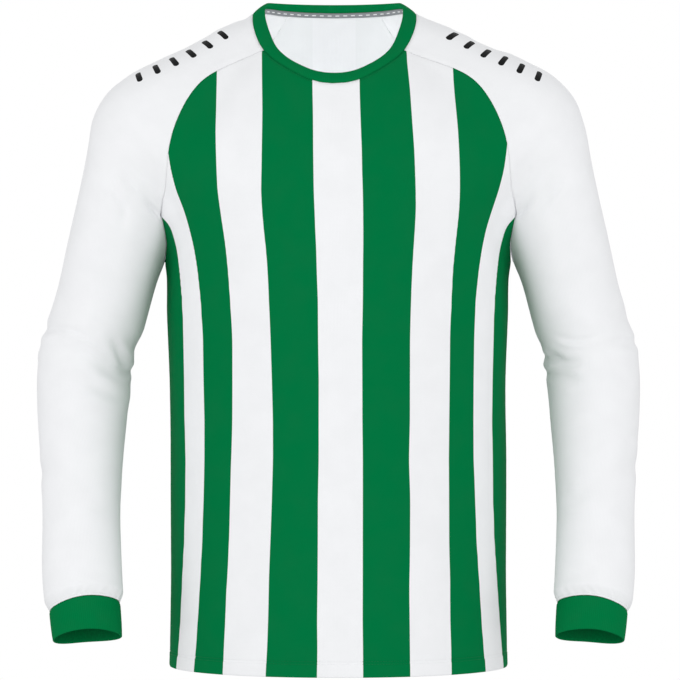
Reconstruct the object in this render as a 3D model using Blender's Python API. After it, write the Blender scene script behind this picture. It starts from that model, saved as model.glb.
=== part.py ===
"""Long-sleeve football shirt, filled out as it is worn, with nothing inside.

Millimetres in the tables, metres in the scene.  +Z is up, the front faces -Y, and +X is
the wearer's left.  The origin is where the shoulders carry the shirt, at the neck.
The cloth lies on one smooth form: torso sections and two arm tubes, joined softly.
Each piece is a grid of points on that form, given a wall inwards, 0.3 mm from the next.
"""
import bpy
import bmesh
import numpy as np

MM = 0.001

# Driving dimensions
HEM_HEIGHT = -700.0        # hem, below the neck
ARMPIT_HEIGHT = -248.0     # underarm point
SIDE_SEAM_DEPTH = 6.0      # side seams, behind the middle
CLOTH_WALL = 1.2
RIB_WALL = 2.2             # the doubled rib of collar and cuffs
TAPE_WALL = 1.0
SEAM_GAP = 0.3
CUFF_LENGTH = 36.5
TAPE_WIDTH = 8.0
TAPE_GAP = 0.8             # under panels whose facets turn a little between its points
TAPE_DROP = 0.5            # from the neck seam to its upper edge
BAND_CROWN = 1.2           # how far the neck band swells between its edges
SLEEVE_CUFF_AT = 758.0     # cuff seam, measured along the arm path
GATHER_LENGTH = 9.0        # stretch of sleeve that draws in to the cuff

# Grid sizes
TORSO_COLUMNS = 20
TORSO_ROWS = 12            # hem to underarm
YOKE_ROWS = 11             # underarm to neck
SLEEVE_COLUMNS = 20
SLEEVE_ROWS = 12           # underarm to the gathered end
TAPE_SLEEVE_COLUMNS = 11   # how far the neck tape reaches on to each sleeve
FINE_SHARE = 4             # finer rows of a sleeve's top before they are evened out
SECTION_POINTS = 400
NECK_POINTS = 120

# Torso: height, middle depth, half width, front reach, back reach, squareness
TORSO_SECTIONS = (
    (60, 8, 76, 10, 60, 2.0),
    (23, 8, 84, 18, 68, 2.0),
    (0, 8, 97, 43, 79, 2.0),
    (-25, 8, 123, 65, 87, 2.1),
    (-64, 8, 168, 96, 97, 2.3),
    (-100, 8, 205, 113, 103, 2.5),
    (-130, 8, 222, 126, 107, 2.6),
    (-165, 11, 212, 138, 105, 2.5),
    (-200, 15, 195, 148, 100, 2.3),
    (-232, 19, 188.5, 155, 95, 2.15),
    (-300, 20, 190, 157, 91, 2.1),
    (-380, 20, 186.5, 155, 86, 2.1),
    (-440, 20, 185.4, 153.5, 84, 2.1),
    (-520, 20, 185.3, 153, 86, 2.1),
    (-600, 20, 184.8, 152, 89, 2.1),
    (-710, 20, 186.5, 150, 92, 2.1),
)
# Left arm: x, y, z of the middle line, half width, half depth, squareness
ARM_PATH = (
    (15, 8, -9, 50, 42, 2.0),
    (75, 8, -37, 53, 44, 2.0),
    (130, 7, -61, 56, 57, 2.0),
    (180, 5, -86, 59, 66, 2.1),
    (213, 3, -110, 59, 70, 2.3),
    (221.5, 3, -150, 56, 70, 2.5),
    (233, 4, -195, 54, 69, 2.6),
    (246, 6, -245, 53, 66, 2.4),
    (259, 9, -297, 51.3, 63, 2.2),
    (274, 12, -345, 52, 60, 2.1),
    (281, 8, -375, 51.5, 57, 2.1),
    (281.5, -2, -420, 49.5, 53, 2.1),
    (281.3, -16, -470, 45, 48, 2.1),
    (280.3, -34, -530, 41.8, 44, 2.1),
    (278.2, -55, -595, 43.5, 39, 2.1),
    (270.5, -77, -662, 41, 36, 2.1),
    (262.5, -100, -730, 40.5, 36, 2.1),
)
# Cuff: share of its length, half width, half depth
CUFF_ROWS = (
    (0.0, 38.6, 32.5),
    (0.35, 38.0, 32.0),
    (1.0, 37.3, 31.0),
)
# Neck seam, front middle to back middle: x, y, z
NECK_SEAM = (
    (0, -88, -65),
    (32, -81, -58.3),
    (48.6, -71, -49.6),
    (65, -58, -37.7),
    (77, -45, -26.2),
    (84.2, -31, -13),
    (87.7, -17, -2.2),
    (88.4, -3, 9.6),
    (88, 12, 20.9),
    (79, 38, 24),
    (60, 60, 23),
    (33, 73, 22.5),
    (0, 77, 22),
)
# Free edge of the neck band, front middle to back middle: x, y, z
NECK_EDGE = (
    (0, -78, -53.3),
    (25.7, -74, -48.7),
    (46.3, -63, -38.1),
    (57.5, -52, -28.9),
    (64.6, -42, -19.7),
    (72, -20, 1),
    (76.2, -4, 15.8),
    (76.3, 4, 23.5),
    (75.5, 18, 32),
    (68, 40, 33.5),
    (50, 56, 34),
    (27, 64, 34),
    (0, 66.5, 34),
)
NECK_MIDDLE = (0.0, -3.0)
# Raglan seams on the left, neck to underarm: x, y, z
RAGLAN_FRONT = (
    (77, -45, -26.2),
    (92.5, -46, -32),
    (107, -47.5, -37.5),
    (120.5, -50.5, -43),
    (133, -53.5, -49),
    (142.5, -56.5, -54.5),
    (150.5, -60, -61.5),
    (157.5, -63.5, -70),
    (164.5, -67.5, -81.5),
    (170.3, -71.5, -92.8),
    (174.8, -75.3, -104),
    (178.5, -78.4, -115),
    (181, -80.5, -126),
    (183, -81, -136),
    (184.5, -78.4, -152.5),
    (187, -70, -172),
    (190.5, -58, -191),
    (193, -48, -206),
    (191, -30, -224),
    (190, -12, -240),
    (189.5, 5, -248),
)
RAGLAN_BACK = (
    (52, 64, 22),
    (82, 75, -20),
    (110, 80, -50),
    (132, 83, -73),
    (150, 87, -97),
    (163, 89, -120),
    (172, 87, -144),
    (180, 79, -168),
    (186, 66, -194),
    (189.5, 48, -216),
    (190, 27, -238),
    (189.5, 5, -248),
)
# Large folds: x, y, z of the middle, x, y, z of the direction, half length, half width, rise
FOLDS = (
    (232, 40, -352, 0.25, 1.0, -0.10, 46, 11, -4.0),
    (240, -42, -372, 0.55, -0.9, -0.35, 40, 12, -3.5),
    (322, -8, -338, 0.1, 1.0, 0.25, 36, 13, 3.0),
    (236, 10, -390, 0.2, 1.0, 0.25, 44, 12, 3.0),
    (196, -72, -188, 0.45, -0.2, 0.85, 40, 13, -4.0),
    (196, 74, -190, 0.45, 0.2, 0.85, 42, 14, -4.5),
    (-232, 40, -356, -0.25, 1.0, -0.15, 44, 11, -4.0),
    (-246, -42, -366, -0.6, -0.9, 0.25, 42, 12, -3.5),
    (-322, -6, -346, -0.1, 1.0, -0.15, 38, 14, 3.5),
    (-238, 12, -400, -0.2, 1.0, 0.2, 40, 12, 3.0),
    (-196, -72, -190, -0.5, -0.2, 0.8, 38, 13, -4.5),
    (-198, 74, -186, -0.45, 0.2, 0.85, 44, 14, -4.0),
    (60, 108, -470, 0.9, 0.1, 0.35, 70, 24, -4.0),
    (-70, 108, -520, 0.9, -0.1, -0.3, 64, 22, -3.5),
)
# The neck sits a little to the wearer's right: height, sideways shift
LEAN_ROWS = ((-700, 0.5), (-400, 1.6), (-230, -0.5), (-120, -2.6), (-40, -5.0), (40, -5.0))
LEAN_FADE = (77.0, 140.0)
CREASE_TOP = (-190.0, -150.0)   # above these heights the torso and arms run smoothly together

CREASE_AGREEMENT = (0.80, 0.95)  # cosines between a part's own way out and the whole form's

# How softly the arms join the torso
CREASE_SOFTNESS = 10.0
SHOULDER_SOFTNESS = 35.0
SOFT_HEIGHTS = (-215.0, -110.0)
SOFT_WIDTHS = (85.0, 160.0)
NECK_SHARE = 0.1

GREEN = (0.0, 0.17, 0.05, 1.0)
WHITE = (0.83, 0.84, 0.86, 1.0)
GREY = (0.14, 0.15, 0.16, 1.0)

# Steps of the tables once smoothed, and the reach of the smoothing
TABLE_STEP = 2.5
TABLE_REACH = 13.0
SEAM_REACH = 7.0
RING_STEP = 1.5            # degrees
RING_REACH = 5.0
RING_OVERLAP = 5           # rows repeated past the front middle, either way


def smooth_table(keys, values, step, reach):
    """A table read at even steps and averaged over a reach, with its ends kept."""
    knots = np.linspace(keys[0], keys[-1], int(round((keys[-1] - keys[0]) / step)) + 1)
    spread = int(3 * reach / step)
    weights = np.exp(-0.5 * (np.arange(-spread, spread + 1) * step / reach) ** 2)
    weights /= weights.sum()
    columns = []
    for column in values.T:
        line = np.interp(knots, keys, column)
        before = 2 * line[0] - line[spread:0:-1]
        after = 2 * line[-1] - line[-2:-spread - 2:-1]
        padded = np.concatenate([before, line, after])
        columns.append(np.convolve(padded, weights, "valid"))
    return knots, np.array(columns).T


def smooth_curve(rows, reach):
    """Points along a smooth curve near the rows."""
    points = np.array(rows, float)
    lengths = np.linalg.norm(np.diff(points, axis=0), axis=1)
    keys = np.concatenate([[0.0], np.cumsum(lengths)])
    return smooth_table(keys, points, TABLE_STEP, reach)


def ease(value, low, high):
    share = np.clip((value - low) / (high - low), 0.0, 1.0)
    return share * share * (3.0 - 2.0 * share)


def unit(vectors):
    return vectors / np.maximum(np.linalg.norm(vectors, axis=-1, keepdims=True), 1e-9)


def side_factors(points):
    """Factors that carry each point to the wearer's left, and back again."""
    factors = np.ones_like(points)
    factors[:, 0] = np.where(points[:, 0] < 0, -1.0, 1.0)
    return factors


class Form:
    """The worn shape: a signed distance, negative inside."""

    def __init__(self):
        sections = np.array(TORSO_SECTIONS, float)[::-1]
        self.heights, self.sections = smooth_table(
            sections[:, 0], sections[:, 1:], TABLE_STEP, TABLE_REACH)
        path = np.array(ARM_PATH, float)
        lengths = np.linalg.norm(np.diff(path[:, :3], axis=0), axis=1)
        keys = np.concatenate([[0.0], np.cumsum(lengths)])
        self.stations, table = smooth_table(keys, path, TABLE_STEP, TABLE_REACH)
        self.middles = table[:, :3]
        self.radii = table[:, 3:]
        heading = np.gradient(self.middles, axis=0)
        heading /= np.linalg.norm(heading, axis=1)[:, None]
        back = np.array([0.0, 1.0, 0.0]) - heading * heading[:, 1:2]
        back /= np.linalg.norm(back, axis=1)[:, None]
        self.headings = heading
        self.backs = back
        self.outers = np.cross(heading, back)

    def torso_row(self, height):
        return [np.interp(height, self.heights, column) for column in self.sections.T]

    def torso(self, points):
        middle, half, front, back, square = self.torso_row(points[:, 2])
        x = np.abs(points[:, 0])
        y = points[:, 1] - middle
        reach = np.where(y < 0, front, back)
        ratio = ((x / half) ** square + (np.abs(y) / reach) ** square) ** (1 / square)
        radius = np.hypot(x, y)
        return radius - radius / (ratio + 1e-9)

    def read(self, table, place):
        low = np.minimum(place.astype(int), len(table) - 2)
        share = (place - low)[:, None]
        return table[low] * (1 - share) + table[low + 1] * share

    def arm_place(self, points):
        gaps = ((points[:, None, :] - self.middles[None]) ** 2).sum(2)
        nearest = gaps.argmin(1)
        offset = ((points - self.middles[nearest]) * self.headings[nearest]).sum(1)
        place = nearest + offset / (self.stations[1] - self.stations[0])
        return np.clip(place, 0, len(self.stations) - 1)

    def arm_frame(self, points):
        place = self.arm_place(points)
        away = points - self.read(self.middles, place)
        outward = (away * self.read(self.outers, place)).sum(1)
        forward = -(away * self.read(self.backs, place)).sum(1)
        return place, away, outward, forward

    def arm_radius(self, radii, outward, forward):
        length = np.hypot(outward, forward) + 1e-9
        square = radii[:, 2]
        ratio = (np.abs(outward) / radii[:, 0]) ** square
        ratio = (ratio + (np.abs(forward) / radii[:, 1]) ** square) ** (1 / square)
        return length / (ratio + 1e-9)

    def arm(self, points):
        place, away, outward, forward = self.arm_frame(points)
        radii = self.read(self.radii, place)
        return np.linalg.norm(away, axis=1) - self.arm_radius(radii, outward, forward)

    def softness(self, points):
        upper = ease(points[:, 2], *SOFT_HEIGHTS)
        beside_neck = NECK_SHARE + (1 - NECK_SHARE) * ease(np.abs(points[:, 0]), *SOFT_WIDTHS)
        return CREASE_SOFTNESS + SHOULDER_SOFTNESS * upper * beside_neck

    def distance(self, points):
        right = points.copy()
        right[:, 0] = np.abs(right[:, 0])
        torso = self.torso(right)
        arm = self.arm(right)
        soft = self.softness(right)
        share = np.clip(0.5 + 0.5 * (arm - torso) / soft, 0, 1)
        return arm * (1 - share) + torso * share - soft * share * (1 - share)

    def slope(self, points, measure=None, step=0.5):
        measure = measure or self.distance
        result = np.empty_like(points)
        for axis in range(3):
            shift = np.zeros(3)
            shift[axis] = step
            ahead = measure(points + shift)
            result[:, axis] = (ahead - measure(points - shift)) / (2 * step)
        return result

    def normal(self, points, measure=None):
        return unit(self.slope(points, measure))

    def settle(self, points, measure=None, turns=8):
        """Moves points onto the form, or onto one part of it, each along its slope."""
        measure = measure or self.distance
        points = np.array(points, float)
        for _ in range(turns):
            slope = self.slope(points, measure)
            steep = np.maximum((slope * slope).sum(1), 0.05)
            points -= slope * (measure(points) / steep)[:, None]
        return points

    def settle_panel(self, points, measure):
        """Settles a panel on the form, and in the underarm crease on its own part alone."""
        points = np.array(points, float)
        sides = side_factors(points)
        own = self.settle(points * sides, measure) * sides
        share = ease(points[:, 2:], *CREASE_TOP)
        return self.settle(points) * share + own * (1 - share)

    def arm_points(self, stations, angles):
        """Points on the left arm's tube; angle 0 is outward and 90 degrees is forward."""
        place = np.asarray(stations, float) / (self.stations[1] - self.stations[0])
        outward = np.cos(angles)
        forward = np.sin(angles)
        radius = self.arm_radius(self.read(self.radii, place), outward, forward)[:, None]
        side = self.read(self.outers, place) * outward[:, None]
        side -= self.read(self.backs, place) * forward[:, None]
        return self.read(self.middles, place) + side * radius


form = Form()


def spaced(curve, count):
    """That many points at equal steps along a curve."""
    lengths = np.linalg.norm(np.diff(curve, axis=0), axis=1)
    keys = np.concatenate([[0.0], np.cumsum(lengths)])
    wanted = np.linspace(0.0, keys[-1], count)
    return np.array([np.interp(wanted, keys, column) for column in curve.T]).T


def mirrored(points):
    return points * np.array([-1.0, 1.0, 1.0])


def ring_reader(rows):
    """Reads a closed neck ring by its angle in plan, 0 at the front and 180 degrees behind."""
    half = np.array(rows, float)
    ring = np.concatenate([mirrored(half[:0:-1]), half])
    extra = RING_OVERLAP
    ring = np.concatenate([ring[-extra - 1:-1], ring, ring[1:extra + 1]])
    angle = np.unwrap(np.arctan2(ring[:, 0] - NECK_MIDDLE[0], NECK_MIDDLE[1] - ring[:, 1]))
    angle -= angle[extra] + np.pi
    knots, values = smooth_table(np.degrees(angle), ring, RING_STEP, RING_REACH)
    return lambda degrees: np.array([np.interp(degrees, knots, column) for column in values.T]).T


neck_seam = ring_reader(NECK_SEAM)
neck_edge = ring_reader(NECK_EDGE)


def ring_angle(point):
    return float(np.degrees(np.arctan2(point[0] - NECK_MIDDLE[0], NECK_MIDDLE[1] - point[1])))


FRONT_ANGLE = ring_angle(RAGLAN_FRONT[0])
BACK_ANGLE = ring_angle(RAGLAN_BACK[0])


def neck_point(degrees):
    return form.settle(neck_seam(np.array([degrees])))[0]


def neck_run(start, end, count):
    """Points on the neck seam between two angles, at equal steps, settled on the form."""
    fine = form.settle(neck_seam(np.linspace(start, end, NECK_POINTS)))
    return spaced(fine, count)


def raglan_line(rows, start):
    """A raglan seam from the underarm up to the neck, with the yoke's row points."""
    curve = form.settle(smooth_curve(rows, SEAM_REACH)[1])
    curve[0] = start
    line = spaced(curve[::-1], YOKE_ROWS + 1)
    line[0] = UNDERARM
    return line


UNDERARM = form.settle(np.array([RAGLAN_FRONT[-1]], float))[0]
FRONT_SEAM = raglan_line(RAGLAN_FRONT, neck_point(FRONT_ANGLE))
BACK_SEAM = raglan_line(RAGLAN_BACK, neck_point(BACK_ANGLE))


def blend_patch(bottom, top, left, right):
    """Fills four edges that meet at their corners with rows of points."""
    rows = len(left)
    columns = len(bottom)
    up = np.linspace(0.0, 1.0, rows)[:, None, None]
    across = np.linspace(0.0, 1.0, columns)[None, :, None]
    between = bottom[None] * (1 - up) + top[None] * up
    beside = left[:, None] * (1 - across) + right[:, None] * across
    low = bottom[0] * (1 - across) + bottom[-1] * across
    high = top[0] * (1 - across) + top[-1] * across
    return between + beside - (low * (1 - up) + high * up)


def on_form(grid, measure):
    """Settles a grid on the form; the points of its four edges stay where they are."""
    settled = form.settle_panel(grid.reshape(-1, 3), measure).reshape(grid.shape)
    for edge in ((0,), (-1,), (slice(None), 0), (slice(None), -1)):
        settled[edge] = grid[edge]
    return settled


def torso_section(height, facing):
    """Half a torso section, from the right side seam to the left one, facing -1 is front."""
    middle, half, front, back, square = form.torso_row(height)
    reach = front if facing < 0 else back
    turn = np.linspace(np.pi, 0.0, SECTION_POINTS)
    x = half * np.sign(np.cos(turn)) * np.abs(np.cos(turn)) ** (2 / square)
    y = middle + facing * reach * np.sin(turn) ** (2 / square)
    line = np.stack([x, y, np.full_like(x, height)], 1)
    if facing < 0:
        return line[line[:, 1] <= SIDE_SEAM_DEPTH]
    return add_seam_ends(line)


def add_seam_ends(line):
    """Carries the back's section forward to the side seams."""
    front = torso_section(line[0, 2], -1)
    middle = form.torso_row(line[0, 2])[0]
    turn = np.linspace(0.0, 1.0, 12)[:, None]
    start = front[0] * (1 - turn) + np.array([line[0, 0], middle, line[0, 2]]) * turn
    return np.concatenate([start[:-1], line, mirrored(start[:-1])[::-1]])


def torso_panel(facing):
    """Front or back panel, hem first, from the wearer's right to the left."""
    heights = np.linspace(HEM_HEIGHT, ARMPIT_HEIGHT, TORSO_ROWS + 1)
    lower = [spaced(torso_section(height, facing), TORSO_COLUMNS + 1) for height in heights]
    lower = form.settle_panel(np.array(lower).reshape(-1, 3), form.torso)
    lower = lower.reshape(TORSO_ROWS + 1, -1, 3)
    lower[-1, 0] = mirrored(UNDERARM)
    lower[-1, -1] = UNDERARM
    seam = FRONT_SEAM if facing < 0 else BACK_SEAM
    if facing < 0:
        top = neck_run(-FRONT_ANGLE, FRONT_ANGLE, TORSO_COLUMNS + 1)
    else:
        top = neck_run(360.0 - BACK_ANGLE, BACK_ANGLE, TORSO_COLUMNS + 1)
    top[0] = mirrored(seam[-1])
    top[-1] = seam[-1]
    yoke = on_form(blend_patch(lower[-1], top, mirrored(seam), seam), form.torso)
    return np.concatenate([lower, yoke[1:]])


def sleeve_panel():
    """Left sleeve, neck first; columns run from the front seam over the top to the back."""
    front = FRONT_SEAM[::-1]
    back = BACK_SEAM[::-1]
    top = neck_run(FRONT_ANGLE, BACK_ANGLE, SLEEVE_COLUMNS + 1)
    top[0] = front[0]
    top[-1] = back[0]
    step = form.stations[1] - form.stations[0]

    def on_tube(points):
        place, away, outward, forward = form.arm_frame(points)
        return np.stack([place * step, np.arctan2(forward, outward)], 1)

    fine_rows = YOKE_ROWS * FINE_SHARE + 1
    left = on_tube(spaced(front, fine_rows))
    right = on_tube(spaced(back, fine_rows))
    left[:, 1] = np.where(left[:, 1] < 0, left[:, 1] + 2 * np.pi, left[:, 1])
    right[:, 1] = np.where(right[:, 1] > 0, right[:, 1] - 2 * np.pi, right[:, 1])
    underarm = left[-1, 0]
    left[-1, 1] = np.pi
    right[-1] = (underarm, -np.pi)
    ring = np.stack([np.full(SLEEVE_COLUMNS + 1, underarm),
                     np.linspace(np.pi, -np.pi, SLEEVE_COLUMNS + 1)], 1)
    cap = blend_patch(on_tube(top), ring, left, right)
    cap = form.arm_points(cap[:, :, 0].ravel(), cap[:, :, 1].ravel())
    cap = form.settle_panel(cap, form.arm).reshape(fine_rows, SLEEVE_COLUMNS + 1, 3)
    cap = np.stack([spaced(line, YOKE_ROWS + 1) for line in cap.transpose(1, 0, 2)], 1)
    cap[:, 0] = front
    cap[:, -1] = back
    cap[0] = top
    rows = [on_form(cap, form.arm)]
    stations = np.linspace(underarm, SLEEVE_CUFF_AT - GATHER_LENGTH, SLEEVE_ROWS)[1:]
    for station in stations:
        rows.append(form.arm_points(np.full(SLEEVE_COLUMNS + 1, station), ring[:, 1])[None])
    rows.append(cuff_ring(0.0, SLEEVE_COLUMNS + 1)[None])
    return np.concatenate(rows)


def cuff_ring(share, count):
    """A ring of the left cuff at a share of its length; share 0 is its seam."""
    rows = np.array(CUFF_ROWS)
    station = SLEEVE_CUFF_AT + share * CUFF_LENGTH
    place = np.full(count, station / (form.stations[1] - form.stations[0]))
    radii = form.read(form.radii, place)
    radii[:, 0] = np.interp(share, rows[:, 0], rows[:, 1])
    radii[:, 1] = np.interp(share, rows[:, 0], rows[:, 2])
    turn = np.linspace(np.pi, -np.pi, count)
    outward = np.cos(turn)
    forward = np.sin(turn)
    side = form.read(form.outers, place) * outward[:, None]
    side -= form.read(form.backs, place) * forward[:, None]
    radius = form.arm_radius(radii, outward, forward)[:, None]
    return form.read(form.middles, place) + side * radius


def grid_faces(rows, columns, closed_from=None):
    """Quads of a grid; from one row on it may close, its last column being its first."""
    places = np.arange(rows * columns).reshape(rows, columns)
    if closed_from is not None:
        places[closed_from:, -1] = places[closed_from:, 0]
    faces = []
    for row in range(rows - 1):
        for column in range(columns - 1):
            corners = (places[row, column], places[row, column + 1],
                       places[row + 1, column + 1], places[row + 1, column])
            faces.append(tuple(int(corner) for corner in corners))
    return faces


def edge_table(faces):
    """Directed edges, and those on the rim."""
    edges = set()
    for face in faces:
        for number, corner in enumerate(face):
            edges.add((corner, face[(number + 1) % len(face)]))
    rim = [edge for edge in edges if edge[::-1] not in edges]
    return edges, sorted(rim)


def draw_in(points, faces, amount):
    """Moves the rim inwards along the surface, to leave the seam gap."""
    edges, rim = edge_table(faces)
    rim_pairs = set(rim) | {edge[::-1] for edge in rim}
    onward = {start: end for start, end in rim}
    backward = {end: start for start, end in rim}
    moved = points.copy()
    for point in onward:
        ahead = unit(points[onward[point]] - points[point])
        behind = unit(points[backward[point]] - points[point])
        inner = [end for start, end in edges if start == point and (start, end) not in rim_pairs]
        inner += [start for start, end in edges if end == point and (start, end) not in rim_pairs]
        if inner:
            way = unit(sum(unit(points[other] - points[point]) for other in inner))
            along = unit(ahead - behind)
            way = unit(way - along * (way @ along))
            moved[point] = points[point] + way * amount
        else:
            moved[point] = points[point] + (ahead + behind) * amount
    return moved


def mesh_normals(points, faces):
    """Each point's normal from the faces around it."""
    result = np.zeros_like(points)
    for face in faces:
        a, b, c, d = (points[corner] for corner in face)
        normal = np.cross(c - a, d - b)
        for corner in face:
            result[corner] += normal
    return unit(result)


def wall_ways(points, measure):
    """The way out at each point: the form's, or the torso's or arm's own in the underarm crease."""
    sides = side_factors(points)
    own = form.normal(points * sides, measure) * sides
    whole = form.normal(points)
    agreement = ease((own * whole).sum(1), *CREASE_AGREEMENT)
    above_crease = ease(points[:, 2], *CREASE_TOP)
    share = np.maximum(agreement, above_crease)[:, None]
    return unit(whole * share + own * (1 - share))


def fold_rise(points):
    """How far the folds lift or sink the cloth at each point."""
    rise = np.zeros(len(points))
    for x, y, z, dx, dy, dz, half_length, half_width, height in FOLDS:
        away = points - np.array([x, y, z], float)
        direction = unit(np.array([dx, dy, dz]))
        along = away @ direction
        across = np.linalg.norm(away - along[:, None] * direction, axis=1)
        fade = np.exp(-(along / half_length) ** 4 - (across / half_width) ** 2)
        rise += height * fade
    return rise


def lean(points):
    """Shifts the middle of the shirt sideways; the shoulders and sleeves stay."""
    rows = np.array(LEAN_ROWS)
    shift = np.interp(points[:, 2], rows[:, 0], rows[:, 1])
    shift *= 1 - ease(np.abs(points[:, 0]), *LEAN_FADE)
    result = points.copy()
    result[:, 0] += shift
    return result


def make_material(name, colour, roughness):
    material = bpy.data.materials.new(name)
    material.use_nodes = True
    shader = material.node_tree.nodes["Principled BSDF"]
    shader.inputs["Base Color"].default_value = colour
    shader.inputs["Roughness"].default_value = roughness
    shader.inputs["Metallic"].default_value = 0.0
    return material


def add_solid(name, outer, inner, faces, material):
    """One closed body from an outer sheet, an inner sheet and the rim between them."""
    rim = edge_table(faces)[1]
    used = sorted({corner for face in faces for corner in face})
    bm = bmesh.new()
    outside = {corner: bm.verts.new(lean_point(outer[corner])) for corner in used}
    inside = {corner: bm.verts.new(lean_point(inner[corner])) for corner in used}
    for face in faces:
        bm.faces.new([outside[corner] for corner in face])
        bm.faces.new([inside[corner] for corner in reversed(face)])
    for start, end in rim:
        bm.faces.new([outside[end], outside[start], inside[start], inside[end]])
    bmesh.ops.triangulate(bm, faces=bm.faces[:])
    bmesh.ops.recalc_face_normals(bm, faces=bm.faces[:])
    mesh = bpy.data.meshes.new(name)
    bm.to_mesh(mesh)
    bm.free()
    mesh.materials.append(material)
    mesh.shade_smooth()
    solid = bpy.data.objects.new(name, mesh)
    bpy.context.collection.objects.link(solid)
    return solid


def lean_point(point):
    return lean(point[None])[0] * MM


def add_cloth(name, grid, material, measure, closed_from=None, flip=False):
    """A panel with its wall inside the form; returns the inner points of its grid."""
    rows, columns = grid.shape[:2]
    faces = grid_faces(rows, columns, closed_from)
    if flip:
        faces = [face[::-1] for face in faces]
    points = grid.reshape(-1, 3)
    ways = wall_ways(points, measure)
    drawn = draw_in(points, faces, SEAM_GAP / 2)
    outer = drawn + ways * fold_rise(points)[:, None]
    inner = outer - ways * CLOTH_WALL
    add_solid(name, outer, inner, faces, material)
    return inner.reshape(grid.shape), ways.reshape(grid.shape)


def add_rib_ring(name, rows, seam_ways, material):
    """A closed rib ring: rows of points from its seam to its free edge."""
    grid = np.array(rows)
    faces = grid_faces(grid.shape[0], grid.shape[1], closed_from=0)
    points = grid.reshape(-1, 3)
    ways = mesh_normals(points, faces)
    middle = points.mean(0)
    if ((points - middle) * ways).sum() < 0:
        faces = [face[::-1] for face in faces]
        ways = -ways
    columns = grid.shape[1]
    if seam_ways is not None:
        ways[:columns] = seam_ways
    outer = points.copy()
    heading = unit(points[columns:2 * columns] - points[:columns])
    outer[:columns] += heading * SEAM_GAP / 2
    inner = outer - ways * RIB_WALL
    add_solid(name, outer, inner, faces, material)


def add_collar(front, back, sleeve, material):
    """The crew-neck band, from the panels' neck points to its free edge."""
    right_top = mirrored(sleeve[0])[::-1]
    seam = np.concatenate([front[-1][:-1], sleeve[0][:-1], back[-1][:0:-1], right_top])
    edge = neck_edge([ring_angle(point) for point in seam])
    ways = form.normal(seam)
    middle = (seam + edge) / 2
    heading = unit(edge - seam)
    around = unit(np.roll(seam[:-1], -1, 0) - np.roll(seam[:-1], 1, 0))
    around = np.concatenate([around, around[:1]])
    crown = unit(np.cross(heading, around))
    crown *= np.sign((crown * ways).sum(1))[:, None]
    add_rib_ring("collar", [seam, middle + crown * BAND_CROWN, edge], ways, material)


def add_cuff(name, side, material):
    """A cuff ring at the end of a sleeve; side is 1 on the wearer's left."""
    rows = [cuff_ring(row[0], SLEEVE_COLUMNS + 1) for row in CUFF_ROWS]
    if side < 0:
        rows = [mirrored(row) for row in rows]
    add_rib_ring(name, rows, None, material)


def add_tape(left, right, back, material):
    """The tape inside the back neck, laid on the panels' inner points."""
    tape_rows = []
    for inner, ways in (right, back, left):
        down = unit(inner[1] - inner[0])
        upper = inner[0] + down * TAPE_DROP
        tape_rows.append((upper, upper + down * TAPE_WIDTH, ways[0]))
    top = np.concatenate([row[0] for row in tape_rows])
    low = np.concatenate([row[1] for row in tape_rows])
    ways = np.concatenate([row[2] for row in tape_rows])
    outer = np.stack([top - ways * TAPE_GAP, low - ways * TAPE_GAP])
    inner = outer - ways[None] * TAPE_WALL
    faces = grid_faces(2, len(top))
    add_solid("neck_tape", outer.reshape(-1, 3), inner.reshape(-1, 3), faces, material)


def build():
    for old in list(bpy.data.objects):
        bpy.data.objects.remove(old, do_unlink=True)
    green = make_material("green_knit", GREEN, 0.7)
    white = make_material("white_knit", WHITE, 0.7)
    grey = make_material("grey_tape", GREY, 0.8)

    front = torso_panel(-1)
    back = torso_panel(1)
    sleeve = sleeve_panel()

    add_cloth("front_panel", front, green, form.torso)
    back_inside = add_cloth("back_panel", back, green, form.torso, flip=True)
    left_inside = add_cloth("sleeve_left", sleeve, white, form.arm, closed_from=YOKE_ROWS)
    right_inside = add_cloth("sleeve_right", mirrored(sleeve), white, form.arm,
                             closed_from=YOKE_ROWS, flip=True)
    add_collar(front, back, sleeve, green)
    add_cuff("cuff_left", 1, green)
    add_cuff("cuff_right", -1, green)

    start = SLEEVE_COLUMNS - TAPE_SLEEVE_COLUMNS
    right = tuple(part[:2, start:] for part in right_inside)
    left = tuple(part[:2, start:][:, ::-1] for part in left_inside)
    behind = tuple(part[::-1][:2] for part in back_inside)
    add_tape(left, right, behind, grey)


build()
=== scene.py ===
import bpy
import numpy as np
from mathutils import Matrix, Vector


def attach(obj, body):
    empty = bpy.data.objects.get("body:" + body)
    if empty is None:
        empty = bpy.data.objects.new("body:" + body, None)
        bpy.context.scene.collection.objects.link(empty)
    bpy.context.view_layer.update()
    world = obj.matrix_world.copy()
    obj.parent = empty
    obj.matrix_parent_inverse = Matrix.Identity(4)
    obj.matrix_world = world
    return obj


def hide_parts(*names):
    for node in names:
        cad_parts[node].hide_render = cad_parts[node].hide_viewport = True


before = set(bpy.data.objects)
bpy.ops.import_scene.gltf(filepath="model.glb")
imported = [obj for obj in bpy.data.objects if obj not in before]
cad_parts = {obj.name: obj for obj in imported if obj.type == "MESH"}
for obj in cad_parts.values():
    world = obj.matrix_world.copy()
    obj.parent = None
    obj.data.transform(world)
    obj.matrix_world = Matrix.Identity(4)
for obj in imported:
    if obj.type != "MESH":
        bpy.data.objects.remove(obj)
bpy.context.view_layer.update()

# Long-sleeve football shirt, filled out as worn.  Tables are in millimetres, meshes in metres.
# +Z is up, the front faces -Y, +X is the wearer's left sleeve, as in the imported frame.

mm = 0.001
tiny = 1e-9
print("frame loaded:", len(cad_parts), "cloth solids")

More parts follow.
